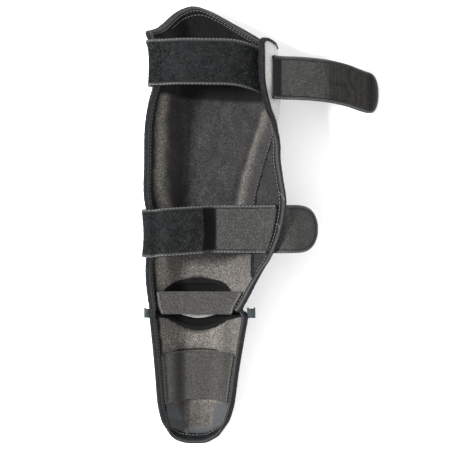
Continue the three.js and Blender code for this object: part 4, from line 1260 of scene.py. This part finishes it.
def strap_body(sheet, waves=0.12):
    """A strap's cloth: its two faces, the upper one with a slight unevenness."""
    plane = measured(sheet)
    uneven = waves * ripples(plane[..., 0], plane[..., 1], 9, 12, 18, 5)
    return wall_between(*slab(sheet, -STRAP / 2, STRAP / 2 + uneven))


def sampled(grid, u, v):
    """Values of a grid between its points, at places (u, v) counted in rows and columns."""
    i, j = np.minimum(u.astype(int), grid.shape[0] - 2), np.minimum(v.astype(int), grid.shape[1] - 2)
    s, t = (u - i)[:, None], (v - j)[:, None]
    return mix(mix(grid[i, j], grid[i, j + 1], t), mix(grid[i + 1, j], grid[i + 1, j + 1], t), s)


def loop_pile(sheet, low, count, height, seed):
    """Fibre loops over a sheet: each is a half oval tube of three sides that stands on the sheet, turned
    and leant at random, with a number of its own."""
    rng = np.random.default_rng(seed)
    n = upward(sheet)
    u = rng.uniform(0.3, sheet.shape[0] - 1.3, count)
    v = rng.uniform(0.3, sheet.shape[1] - 1.3, count)
    base, up = sampled(sheet, u, v), unit(sampled(n, u, v))
    along = unit(sampled(np.gradient(sheet, axis=1), u, v))
    across = np.cross(up, along)
    turn = rng.uniform(0, 2 * math.pi, count)[:, None]
    way = np.cos(turn) * along + np.sin(turn) * across
    lean = np.cross(up, way) * rng.uniform(-0.8, 0.8, count)[:, None]
    wide = rng.uniform(0.45, 1.05, count)[:, None, None]
    tall = (height * rng.uniform(0.45, 1.15, count))[:, None, None]
    t = np.linspace(0, math.pi, 5)[None, :, None]
    centre = (
        base[:, None] + up[:, None] * (low + tall * np.sin(t)) + lean[:, None] * tall * np.sin(t)
        - way[:, None] * wide * np.cos(t)
    )
    run = unit(np.gradient(centre, axis=1))
    side = unit(np.cross(run, (up + 0.3 * across)[:, None]))
    top = np.cross(side, run)
    angle = np.arange(3) * 2 * math.pi / 3
    ring = np.cos(angle)[:, None] * side[:, :, None] + np.sin(angle)[:, None] * top[:, :, None]
    thick = rng.uniform(0.09, 0.17, count)[:, None, None, None]
    points, faces = many(centre[:, :, None] + ring * thick)
    return points, faces, np.repeat(rng.uniform(0, 1, count), len(points) // count)


def add_loop_tape(name, sheet, node, seed):
    """The backing and the pile of a loop tape as one piece."""
    s = sizes()
    plane = measured(sheet)
    area = np.ptp(plane[..., 0]) * np.ptp(plane[..., 1])
    backing = wall_between(*slab(sheet, STRAP / 2 + 0.05, STRAP / 2 + 0.75))[:2]
    count = int(area * s["loops"] / 100)
    *pile, own = loop_pile(sheet, STRAP / 2 + 0.6, count, s["loop_height"], seed)
    levels = np.concatenate([np.zeros(len(backing[0])), own])
    return add_piece(name, "loop", "loop_tape", *joined([backing, pile]), None, [node], {"fibre": levels})


# Points across each strap, and along each elastic
STRAP_LINES, ELASTIC_COLUMNS = 34, 300

# The runs of the folded straps as shares (out, up, sway), and the opened strap's fall as (out, fall, sway)
UPPER_RUN = [(0.2, 0.965, 0), (0.45, 0.95, 0), (0.68, 0.9, -0.01), (0.84, 0.79, -0.1), (0.94, 0.68, -0.2)]
MIDDLE_RUN = [(0.25, 0.885, 0.02), (0.5, 0.865, 0.04), (0.75, 0.83, 0.06), (1, 0.785, 0.08)]
HOOK_FALL = [
    (0.05, 0.04, 0), (0.19, 0.09, 0), (0.4, 0.23, -0.02), (0.6, 0.49, -0.07), (0.75, 0.79, -0.14),
    (0.83, 0.95, -0.17), (0.92, 1, -0.2),
]

# Where the straps and elastics lie along the guard, and their widths and lengths, in millimetres
UPPER_PLACE, UPPER_WIDTH = 237.0, 42.0
HOOK_PLACE, HOOK_WIDTH, HOOK_LENGTH, HOOK_PATCH = 223.0, 39.0, 112.0, 54.0
MIDDLE_PLACE, MIDDLE_WIDTH, MIDDLE_LENGTH = 75.0, 44.0, 50.0
INNER_PLACE, INNER_LENGTH, TAB_LENGTH = MIDDLE_PLACE + 4.0, 66.0, 40.0
INSTEP_ELASTIC_PLACE, INSTEP_ELASTIC_WIDTH = 64.0, 48.0
ANKLE_ELASTIC_PLACE, ANKLE_ELASTIC_WIDTH = 7.0, 22.0


def hook_line(count):
    """The middle line of the opened strap: from its seat on the outside of the flange, out and down to the
    surface that the guard lies on."""
    b = np.array(HOOK_PLACE / SHIN_LENGTH)
    lift = SEAT + SEAT + GAP + STRAP / 2
    seat = lambda a: shin.outside(np.array(a), b, lift) * [1, 0, 1] + [0, HOOK_PLACE, 0]
    root = seat(0.9)
    rest = root[2] - STRAP / 2 - PIPING / 5 - GAP
    points = [seat(0.94), root] + [
        root + [out * HOOK_LENGTH, sway * HOOK_WIDTH, -fall * rest] for out, fall, sway in HOOK_FALL
    ]
    return spline(np.array(points), np.linspace(0, 1, count))


def inner_sheet(rows, columns):
    """The plain strap from the flap towards the middle: three seats on the flap's lining, then its run."""
    y = INNER_PLACE + np.linspace(-1, 1, rows) * MIDDLE_WIDTH / 2
    lift = GAP + LINING + SEAT + SEAT + STRAP / 2
    seats = [wing_at_y(np.full(rows, w), y, lift) for w in (0.9, 0.7, 0.5)]
    start = wing_at_y(np.array(0.5), np.array(INNER_PLACE), lift)
    run = [
        np.stack(np.broadcast_arrays(start[0] - out * INNER_LENGTH, y, up * SHIN_HEIGHT), axis=-1)
        for out, up in ((0.3, 0.7), (0.65, 0.645), (1, 0.61))
    ]
    return spline(np.stack(seats + run, axis=-2)[:, None], np.linspace(0, 1, columns)[None, :])


def tab_sheet(rows, columns):
    """The rounded tab: from its seat under the flap, out past the rim and down."""
    under = FLAP + SEAT + PIPING / 5 + STRAP / 2
    s = np.linspace(-1, 1, rows)
    y = INNER_PLACE + s * MIDDLE_WIDTH / 2
    root = wing_at_y(np.array(1.0), np.array(INNER_PLACE), -under - BINDING / 2)
    seats = [
        wing_at_y(np.full(rows, w), y, -under - low) for w, low in ((0.68, 0), (1.0, BINDING / 2))
    ]
    run = [
        np.stack(np.broadcast_arrays(root[0] + out * TAB_LENGTH, y, root[2] - fall * TAB_LENGTH), axis=-1)
        for out, fall in ((0.25, 0.06), (0.6, 0.28), (0.9, 0.58))
    ]
    t = np.linspace(0, 1, columns)
    sheet = spline(np.stack(seats + run, axis=-2)[:, None], t[None, :])
    sheet[..., 1] = INNER_PLACE + s[:, None] * round_end(t, TAB_LENGTH, MIDDLE_WIDTH / 2)
    return sheet


# Elastics


def along_for(shell, a, y):
    """The share along a shell where its inner face has a given y at a, by halving the range 24 times."""
    low, high = np.zeros_like(a), np.ones_like(a)
    rising = shell.face(a, np.ones_like(a))[..., 1] > shell.face(a, np.zeros_like(a))[..., 1]
    for _ in range(24):
        middle = (low + high) / 2
        up = (shell.face(a, middle)[..., 1] < y) == rising
        low, high = np.where(up, middle, low), np.where(up, high, middle)
    return (low + high) / 2


def instep_elastic_sheet(rows, columns):
    """The wide elastic: it follows the instep's lining, bows towards the ankle by the sine of its place
    across, and stands off the lining by that sine squared."""
    s, a = np.meshgrid(np.linspace(-0.5, 0.5, rows), np.linspace(0.04, 0.96, columns), indexing="ij")
    raised = np.sin(math.pi * a)
    y = -ANKLE_SPACE - INSTEP_ELASTIC_PLACE + s * INSTEP_ELASTIC_WIDTH + raised * 4.0
    return instep.lifted(a, along_for(instep, a, y), GAP + LINING + GAP + SEAT + raised**2 * 6.0)


def ankle_elastic_sheet(rows, columns):
    """The narrow elastic: straight lines between the two walls that sag by a half sine."""
    y = ANKLE_ELASTIC_PLACE + np.linspace(-0.5, 0.5, rows) * ANKLE_ELASTIC_WIDTH

    def on_wall(at):
        a = np.full(rows, at)
        past = np.maximum(shin.face(a, 0 * a)[:, 1] - y, 0)
        place = shin.lifted(a, along_for(shin, a, y), GAP + LINING + GAP + SEAT + SEAT + past / 2)
        place[:, 1] = y
        return place

    left, right = on_wall(0.06), on_wall(0.96)
    t = np.linspace(0, 1, columns)[None, :, None]
    sheet = mix(left[:, None], right[:, None], t)
    sheet[..., 2] -= np.sin(math.pi * t[..., 0]) * 3
    return sheet


def instep_hollow(sheet):
    """How much painted shade the wide elastic has: most over the hollow that it bridges beside the left wall.
    """
    x = sheet[..., 0]
    return 0.75 * hump(x + 20, 5.5) + 0.3 * hump(x - 30, 5)


def add_elastic(name, sheet, low, high, node, hollow=lambda sheet: 0 * sheet[..., 0]):
    """An elastic with ribs: its upper face rises by the size of a sine along its length."""
    pitch = sizes()["rib_pitch"]
    along = measured(sheet)[..., 0]
    rib = np.abs(np.sin(along * math.pi / pitch))
    lower, upper = slab(sheet, low, high - 0.25 + 0.3 * rib)
    levels = {
        "height": np.concatenate([np.full(rib.size, 0.5), rib.ravel()]),
        "deep": on_both(hollow(sheet)),
    }
    piece = add_piece(
        name, "elastic", "elastic_webbing", *wall_between(lower, upper), [node], levels
    )
    declare_cloth(sheet)
    return piece


def zigzag(sheet, columns):
    """A zigzag line across a sheet's width between two of its columns, with its upward direction."""
    high, pitch = 0.7, 2.6
    rows = sheet.shape[0]
    width = np.linalg.norm(sheet[-1, 0] - sheet[0, 0])
    turns = int(width / pitch) * 2
    u = np.linspace(0.6, rows - 1.6, turns + 1)
    v = np.where(np.arange(turns + 1) % 2 == 0, *columns).astype(float)
    line, up = sampled(sheet, u, v), unit(sampled(upward(sheet), u, v))
    return line + up * high, up


# Operators, one for each group of pieces


class GuardOperator:
    """What the operators share: they are run once, in the order of the panel."""

    bl_options = {"REGISTER", "UNDO"}

    def execute(self, context):
        self.build(context)
        return {"FINISHED"}


class GUARD_OT_shin_shell(GuardOperator, bpy.types.Operator):
    """Builds the padded shin shell and its lining"""

    bl_idname = "guard.shin_shell"
    bl_label = "Shin shell"

    def build(self, context):
        cover = shell_cover("shin_padded_cover", shin, SHIN_SCALE, "shin_cover", (108, 152), (0.3, 0.72))
        shell_lining(
            "shin_knit_lining", shin, SHIN_SCALE, "shin_lining", (140, 200), SHIN_FOLDS, 3, shin_look
        )


class GUARD_OT_instep_shell(GuardOperator, bpy.types.Operator):
    """Builds the padded instep shell, its lining and its binding"""

    bl_idname = "guard.instep_shell"
    bl_label = "Instep shell"

    def build(self, context):
        cover = shell_cover(
            "instep_padded_cover", instep, INSTEP_SCALE, "instep_cover", (90, 82), (0.32, 0.68)
        )
        shell_lining(
            "instep_knit_lining", instep, INSTEP_SCALE, "instep_lining", (124, 112), INSTEP_FOLDS, 8,
            instep_look,
        )
        at, inward = rim_loop(INSTEP_SCALE)
        toe = np.clip((at[:, 1] - 0.97) / 0.02, 0, 1)
        sheet = binding_sheet(instep, at, inward, sizes()["rim_reach"] + 3.5 * toe)
        add_piece(
            "instep_rim_binding", "tape", "black_binding", *tape_body(sheet, 4), ["instep_binding"],
            crest_levels(sheet.shape[1], lip_share(at)),
        )
        rim = (at[:, 1] > 0.02).nonzero()[0]
        part = sheet[rim[0]:rim[-1]]
        add_stitches("instep_rim_stitches", [seam_row(part, column) for column in seam_columns(part)])


class GUARD_OT_side_wing(GuardOperator, bpy.types.Operator):
    """Builds the soft side flap, the binding round the whole shin guard and the seam between them"""

    bl_idname = "guard.side_wing"
    bl_label = "Side flap and rim"

    def build(self, context):
        s = sizes()
        b = np.linspace(SEAM_LOW + SEAM_STEP / 2, SEAM_HIGH - SEAM_STEP / 2, 150)[:, None]
        w = np.linspace(0, 1, 40)[None, :]
        depth = -mix(EDGE, FLAP, w) + 0 * b
        face = wing(w, b, 0 * w)
        quilt = 0.5 * ripples(face[..., 0], face[..., 1], 31, 14, 34, 8) * np.sin(math.pi * w)
        body = wall_between(wing(w, b, depth + 0.3 * quilt), face)
        add_piece("wing_leather_cover", "leather", "outer_leather", *body, ["side_wing"])
        run = b * SHIN_LENGTH
        gathers = 0.45 * np.sin(run / 1.9 + 3 * np.sin(run / 11)) * np.exp(-w / 0.35)
        gathers = gathers + 0.3 * np.sin(run / 1.3 + 2 * np.sin(run / 8)) * np.exp(-(1 - w) / 0.2)
        creases = sum(1.1 * hump(off_line(face[..., 0], face[..., 1], line), 1.5) for line in FLAP_CREASES)
        top = wing(w, b, GAP + LINING + quilt + gathers * 0.8 + creases)
        body = wall_between(wing(w, b, GAP + 0 * w), top)
        piece = add_piece("wing_knit_lining", "lining", "lining_fabric", *body, ["wing_lining"])
        declare_cloth(top)

        sheet, lip = shin_rim_sheet(s["rim_reach"])
        add_piece(
            "shin_rim_binding", "tape", "black_binding", *tape_body(sheet, 6),
            ["shin_binding", "wing_binding"], crest_levels(sheet.shape[1], lip),
        )
        covered = (lip > 0.01).nonzero()[0]
        parts = [sheet[:covered[0]], sheet[covered[-1] + 1:]]
        rows = [seam_row(part, column) for part in parts for column in seam_columns(part)]
        add_stitches("shin_rim_stitches", rows)

        at, inward = rim_loop(SHIN_SCALE)
        knee = (at[:, 1] > 0.975) & (at[:, 0] > 0.3) & (at[:, 0] < 0.93)
        inset = at[knee] + inward[knee] * 5.2
        line = shin.lifted(inset[:, 0], inset[:, 1], GAP + LINING + 0.5)
        add_stitches("knee_lining_stitches", [(line, np.broadcast_to([0.0, 0.0, 1.0], line.shape))])
        # Each loose thread's points: the share across the flap, y, and the height over the lining
        threads = [
            [(0.96, 114, 1), (1.0, 112, 1.8), (1.03, 110, 2.0), (1.06, 107, 1.6)],
            [(0.92, 84, 1), (0.97, 83, 1.8), (1.02, 82, 2.2), (1.04, 79, 1.8)],
        ]
        lots = []
        for points in threads:
            w, y, lift = np.array(points, float).T
            path = spline(wing_at_y(w, y, lift + GAP + LINING), np.linspace(0, 1, 24))
            lots.append(tube_along(path, 0.1, 6))
        add_piece("loose_threads", "pale thread", "black_binding", *joined(lots))

        b = np.linspace(SEAM_LOW + SEAM_STEP, SEAM_HIGH - SEAM_STEP, 150)
        tape_at = seam_tape(b)
        add_piece("wing_seam_tape", "tape", "black_binding", *wall_between(*slab(tape_at, -0.3, 0.15)))
        add_stitches("wing_seam_stitches", [seam_row(tape_at, 1.0, 0.15)])


class GUARD_OT_loop_straps(GuardOperator, bpy.types.Operator):
    """Builds the two folded straps with loop tape, their bound edges and stitches"""

    bl_idname = "guard.loop_straps"
    bl_label = "Loop straps"

    def build(self, context):
        opening = float(shin.face(0.9, 0.85)[0] - shin.face(0.0, 0.85)[0])
        straps = [
            ("upper_loop", UPPER_PLACE, UPPER_WIDTH, opening, UPPER_RUN, 130, 11),
            ("middle_loop", MIDDLE_PLACE, MIDDLE_WIDTH, MIDDLE_LENGTH, MIDDLE_RUN, 80, 12),
        ]
        for name, place, width, reach, run, columns, seed in straps:
            sheet = folded_strap(place, width, reach, run, STRAP_LINES, columns)
            body = strap_body(sheet)
            strap = add_piece(name + "_cloth", "strap", "strap_fabric", *body, [name + "_strap"])
            patch = add_loop_tape(name + "_tape", sheet, name + "_patch", seed)
            tapes, rows = zip(*(
                add_edge_tape(
                    name + "_%s_edge_tape" % edge, name + "_%s_binding" % edge,
                    *side_line(sheet, row, backwards), above=1.3, reach=1.1, inset=0.2, thread=1.85,
                )
                for row, backwards, edge in ((-1, False, "top"), (0, True, "bottom"))
            ))
            sewn = add_stitches(name + "_stitches", rows)
            declare_cloth(sheet)


class GUARD_OT_hook_strap(GuardOperator, bpy.types.Operator):
    """Builds the opened strap with its hook tape, its bound edge and stitches"""

    bl_idname = "guard.hook_strap"
    bl_label = "Hook strap"

    def build(self, context):
        coarse, fine = 150, 500
        sheet = ended_strap(hook_line(coarse), HOOK_WIDTH / 2, 40)
        body = strap_body(sheet)
        run = measured(sheet)[..., 0]
        # Painted shadow of the flange over the strap's root
        root = np.clip((10.5 - run + run.min()) / 1.2, 0, 1)
        strap = add_piece(
            "hook_strap_cloth", "strap", "strap_fabric", *body, ["upper_hook_strap"],
            {"dark": on_both(root)},
        )
        start = int(coarse * (1 - HOOK_PATCH / HOOK_LENGTH))
        first = int(fine * start / coarse)
        line = hook_line(fine)
        whole = ended_strap(line, HOOK_WIDTH / 2 - 0.4, 80)[:, first:]
        across = measured(whole)[..., 1]
        run = np.linalg.norm(np.diff(line[first:], axis=0), axis=1).cumsum()
        run = np.concatenate([[0], run])[None, :] + 0.25 * np.sin(across / 6)
        pitch = sizes()["hook_pitch"]
        ridge = np.maximum(np.sin(run * 2 * math.pi / pitch), 0) ** 0.6
        teeth = 0.55 + 0.45 * np.abs(np.sin(across * math.pi / 1.5 + np.floor(run / pitch) * 1.3))
        tips = ridge * teeth
        lower, upper = slab(whole, STRAP / 2 + 0.05, STRAP / 2 + 0.45 + 0.95 * tips)
        patch = add_piece(
            "hook_tape_rows", "hook", "hook_tape", *wall_between(lower, upper), ["upper_hook_patch"],
            {"height": np.concatenate([np.zeros(tips.size), tips.ravel()])},
        )
        bound, row = add_edge_tape(
            "hook_strap_edge_tape", "upper_hook_binding", *outline_line(sheet),
            above=0.4, reach=1.0, inset=0.2, thread=0.95,
        )
        sewn = add_stitches("hook_strap_stitches", [row])
        up = upward(sheet)[2:-2, start]
        cross = add_stitches("hook_tape_stitches", [(sheet[2:-2, start] + up * (STRAP / 2 + 0.5), up)])
        declare_cloth(sheet)


class GUARD_OT_plain_straps(GuardOperator, bpy.types.Operator):
    """Builds the plain inner strap and the rounded tab, with their bound edges and stitches"""

    bl_idname = "guard.plain_straps"
    bl_label = "Inner strap and tab"
    tape = {"above": 0.3, "reach": 1.2, "inset": 0.3, "thread": 0.9}

    def build(self, context):
        sheet = inner_sheet(STRAP_LINES, 70)
        body = strap_body(sheet, 0.25)
        # Painted shadow of the middle loop strap's raised end over this strap's free end
        end = np.clip((18.5 - sheet[..., 0]) / 1.2, 0, 1)
        strap = add_piece(
            "inner_strap_cloth", "strap", "strap_fabric", *body, ["middle_inner_strap"],
            {"dark": on_both(end)},
        )
        tapes, rows = zip(*(
            add_edge_tape(
                "inner_strap_%s_edge_tape" % edge, "middle_inner_%s_binding" % edge,
                *side_line(sheet, row, backwards), **self.tape,
            )
            for row, backwards, edge in ((-1, True, "top"), (0, False, "bottom"))
        ))
        up = upward(sheet)[3:-3, -4]
        end_row = sheet[3:-3, -4] + up * (STRAP / 2 + 0.15), up
        sewn = add_stitches("inner_strap_stitches", [*rows, end_row])
        declare_cloth(sheet)

        sheet = tab_sheet(STRAP_LINES, 60)
        body = strap_body(sheet, 0.25)
        tab = add_piece("outer_tab_cloth", "strap", "strap_fabric", *body, ["middle_outer_tab"])
        bound, row = add_edge_tape(
            "outer_tab_edge_tape", "middle_tab_binding", *outline_line(sheet), **self.tape
        )
        sewn = add_stitches("outer_tab_stitches", [row])
        declare_cloth(sheet)


class GUARD_OT_elastics(GuardOperator, bpy.types.Operator):
    """Builds the two elastics and their stitches"""

    bl_idname = "guard.elastics"
    bl_label = "Elastics"

    def build(self, context):
        wide = instep_elastic_sheet(26, ELASTIC_COLUMNS)
        add_elastic("instep_elastic_web", wide, 0, 1.6, "instep_elastic", instep_hollow)
        narrow = ankle_elastic_sheet(14, ELASTIC_COLUMNS)
        add_elastic("ankle_elastic_web", narrow, -0.8, 0.8, "ankle_elastic")
        up = upward(wide)
        rows = [(wide[1:-1, column] + up[1:-1, column] * 1.55, up[1:-1, column]) for column in (6, -7)]
        add_stitches("instep_elastic_stitches", rows)
        rows = [zigzag(narrow, (first, first + 7)) for first in (3, ELASTIC_COLUMNS - 11)]
        add_stitches(
            "ankle_elastic_stitches", rows, "pale thread", "elastic_webbing",
            stitch_length=1.7, stitch_pitch=2.1, thread_radius=0.22,
        )


# The stretch of a that the joining flap between the shells takes up
JOINED = 5 / 24, 19 / 24


def rim_bridge(a_at, way, count):
    """A stretch of rim binding from one shell's rim to the other's: straight lines between two sections."""
    ends = [
        binding_sheet(shell, np.array([[a_at, 2.5 * scale[1]]]), np.array([[way * scale[0], 0.0]]), 2.6, 0.4)
        for shell, scale in ((shin, SHIN_SCALE), (instep, INSTEP_SCALE))
    ]
    return mix(*ends, np.linspace(0, 1, count)[:, None, None])


def ankle_tab_sheet(a_at, side, spread):
    """The middle surface of a folded webbing end beside a rim: up, over and down again, with a slight wave
    along its fold. spread is the distance between its two legs."""
    zero, at = np.array(0.0), np.array(a_at)
    rims = [(shell.outer(at, zero) + shell.lifted(at, zero, LINING)) / 2 for shell in (shin, instep)]
    x = max(side * rim[0] for rim in rims) + RIM_SIDE - 0.6
    fold = np.array([[0, -10], [0, -4], [0.15, -1], [0.5, 0], [0.85, -1], [1, -4], [1, -10]])
    line = spline(np.pad(fold, ((0, 0), (0, 1))), np.linspace(0, 1, 50))
    out, up = line[None, :, 0], line[None, :, 1]
    y = np.linspace(-0.5, 0.5, 16)[:, None] * 9.0 - 3.0 + 0.4 * np.sin(up / 2)
    return np.stack(np.broadcast_arrays(side * (x + out * spread), y, rims[0][2] + up), axis=-1)


def joining_sheet(a, t):
    """The sheet between the shells' open ends: straight lines from one to the other that dip by a half sine,
    most in the middle. It reaches under the bindings where t goes below 0 or above 1."""
    proud = SEAT + BINDING + GAP + SEAT
    zero = np.zeros_like(a)
    lines = []
    for shell, scale in ((shin, SHIN_SCALE), (instep, INSTEP_SCALE)):
        edge = (shell.outer(a, zero) + shell.lifted(a, zero, GAP + LINING)) / 2
        deeper = (shell.outer(a, zero + scale[1]) + shell.lifted(a, zero + scale[1], GAP + LINING)) / 2
        lines.append(edge + unit(edge - deeper) * proud)
    under = np.sin(math.pi * np.clip((a - JOINED[0]) / (JOINED[1] - JOINED[0]), 0, 1))[:, None]
    sheet = mix(lines[0][:, None], lines[1][:, None], t[None, :, None])
    dip = np.sin(math.pi * np.clip(t, 0, 1))[None, :] * under * 9.0
    sheet[..., 2] = np.maximum(sheet[..., 2] - dip, 1.4)
    return sheet


class GUARD_OT_ankle(GuardOperator, bpy.types.Operator):
    """Builds the joining flap between the shells and the folded tabs beside the ankle"""

    bl_idname = "guard.ankle"
    bl_label = "Ankle flap and tabs"

    def build(self, context):
        sheet = joining_sheet(np.linspace(*JOINED, 70), np.linspace(0, 1, 44))[1:-1, 2:-2]
        body = wall_between(*slab(sheet, -1.1, 0.3))
        flap = add_piece("ankle_joining_leather", "leather", "outer_leather", *body, ["ankle_joining_flap"])
        over = joining_sheet(np.linspace(0.03, 0.97, 80), np.linspace(-0.06, 1.06, 40))
        rise = 0.2 * ripples(over[..., 0], over[..., 1], 41, 12, 16, 5)
        body = wall_between(*slab(over, 0.4, 1.2 + rise))
        # The whole ankle lining is painted dark, as painted shade in the valley between the shells
        shaded = {"deep": np.ones(len(body[0]))}
        piece = add_piece("ankle_lining", "lining", "lining_fabric", *body, (), shaded)
        declare_cloth(over)
        # The fold of pale leather over the lining narrows to both its ends
        fold = joining_sheet(np.linspace(0.37, 0.62, 40), np.linspace(0.77, 0.85, 8))
        middle = fold.mean(axis=1, keepdims=True)
        fold = mix(middle, fold, np.sin(math.pi * np.linspace(0.03, 0.97, 40))[:, None, None])
        body = wall_between(*slab(fold + [0, 0, 3.2], -0.4, 0.4))
        add_piece("ankle_leather_fold", "leather", "outer_leather", *body)
        bands = [rim_bridge(a_at, way, 12) for a_at, way in ((0.0, 1.0), (1.0, -1.0))]
        parts = joined([tape_body(band)[:2] for band in bands])
        # A painted highlight along the crest of each bridge, as on the rim binding
        paleness = np.concatenate([crest_levels(bands[0].shape[1], np.zeros(12))["crest"]] * 2)
        add_piece("ankle_rim_bridges", "tape", "black_binding", *parts, None, (), {"crest": paleness})
        for name, a_at, side, spread in (("left", 0.0, -1, 4.8), ("right", 1.0, 1, 6.4)):
            body = wall_between(*slab(ankle_tab_sheet(a_at, side, spread), -0.8, 0.8))
            add_piece("ankle_webbing_" + name, "webbing", "ankle_webbing", *body, ["ankle_tab_" + name])


# The camera above the guard and its lens, and each light's name, place, size in metres and power in watts
CAMERA_PLACE, CAMERA_LENS = (-0.0335, -0.0033, 1.2), 93.1
LIGHTS = [("sun side", (-1.05, 0.12, 1.28), 0.22, 52.0), ("soft side", (1.2, -0.5, 1.4), 1.2, 5.0)]
SKY_STRENGTH = 1.32
FLOOR_HALF, FLOOR_LOW = 3.0, 0.0004


class GUARD_OT_stage(GuardOperator, bpy.types.Operator):
    """Builds the floor, the lights and the camera above the guard"""

    bl_idname = "guard.stage"
    bl_label = "Stage"

    def build(self, context):
        scene = context.scene
        camera = bpy.data.objects.new("camera", bpy.data.cameras.new("camera"))
        camera.location = CAMERA_PLACE
        camera.data.sensor_width = 36
        camera.data.lens = CAMERA_LENS
        scene.collection.objects.link(camera)
        scene.camera = camera

        corners = [
            (x * FLOOR_HALF, y * FLOOR_HALF, -FLOOR_LOW) for x, y in ((-1, -1), (1, -1), (1, 1), (-1, 1))
        ]
        mesh = bpy.data.meshes.new("floor")
        mesh.from_pydata(corners, [], [(0, 1, 2, 3)])
        floor = bpy.data.objects.new("floor", mesh)
        scene.collection.objects.link(floor)
        f = Finish("pale floor")
        mesh.materials.append(f.finish(f.mix(f.noise(0.3, 2), (0.86, 0.86, 0.86), (0.9, 0.9, 0.9))))
        floor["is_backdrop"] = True

        for light in LIGHTS:
            self.light(scene, *light)
        world = bpy.data.worlds.new("studio")
        world.use_nodes = True
        sky = world.node_tree.nodes["Background"]
        sky.inputs["Color"].default_value = (1, 1, 1, 1)
        sky.inputs["Strength"].default_value = SKY_STRENGTH
        scene.world = world
        scene.view_settings.view_transform = "Standard"

    def light(self, scene, name, place, size, power):
        """A square light that looks at the guard."""
        lamp = bpy.data.lights.new(name, "AREA")
        lamp.size, lamp.energy = size, power
        made = bpy.data.objects.new(name, lamp)
        x, y, z = place
        made.location = place
        made.rotation_mode = "XYZ"
        flat = math.hypot(x, y)
        made.rotation_euler = (math.atan2(flat, z), 0, math.atan2(y, x) + math.pi / 2)
        scene.collection.objects.link(made)


OPERATORS = (
    GUARD_OT_stage, GUARD_OT_shin_shell, GUARD_OT_instep_shell, GUARD_OT_side_wing, GUARD_OT_loop_straps,
    GUARD_OT_hook_strap, GUARD_OT_plain_straps, GUARD_OT_elastics, GUARD_OT_ankle,
)


class GUARD_PT_panel(bpy.types.Panel):
    """Lists the guard's pieces, sizes and colours"""

    bl_idname = "GUARD_PT_panel"
    bl_label = "Shin and instep guard"
    bl_space_type = "VIEW_3D"
    bl_region_type = "UI"
    bl_category = "Guard"

    def draw(self, context):
        for operator in OPERATORS:
            self.layout.operator(operator.bl_idname)
        for group in (context.scene.guard_sizes, context.scene.guard_colours):
            box = self.layout.box()
            for key in type(group).__annotations__:
                box.prop(group, key)


CLASSES = (GuardSizes, GuardColours, *OPERATORS, GUARD_PT_panel)


def register():
    for made in CLASSES:
        bpy.utils.register_class(made)
    bpy.types.Scene.guard_sizes = PointerProperty(type=GuardSizes)
    bpy.types.Scene.guard_colours = PointerProperty(type=GuardColours)


def unregister():
    del bpy.types.Scene.guard_colours
    del bpy.types.Scene.guard_sizes
    for made in reversed(CLASSES):
        bpy.utils.unregister_class(made)


def main():
    """Builds the stage and every piece."""
    register()
    for operator in OPERATORS:
        group, name = operator.bl_idname.split(".")
        if getattr(getattr(bpy.ops, group), name)() != {"FINISHED"}:
            raise RuntimeError(operator.bl_idname + " did not finish")
    lists = lambda box: [list(map(float, corner)) for corner in box]
    {"cad": lists(CAD_BOX), "visual": lists(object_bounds())}


if __name__ == "__main__":
    main()
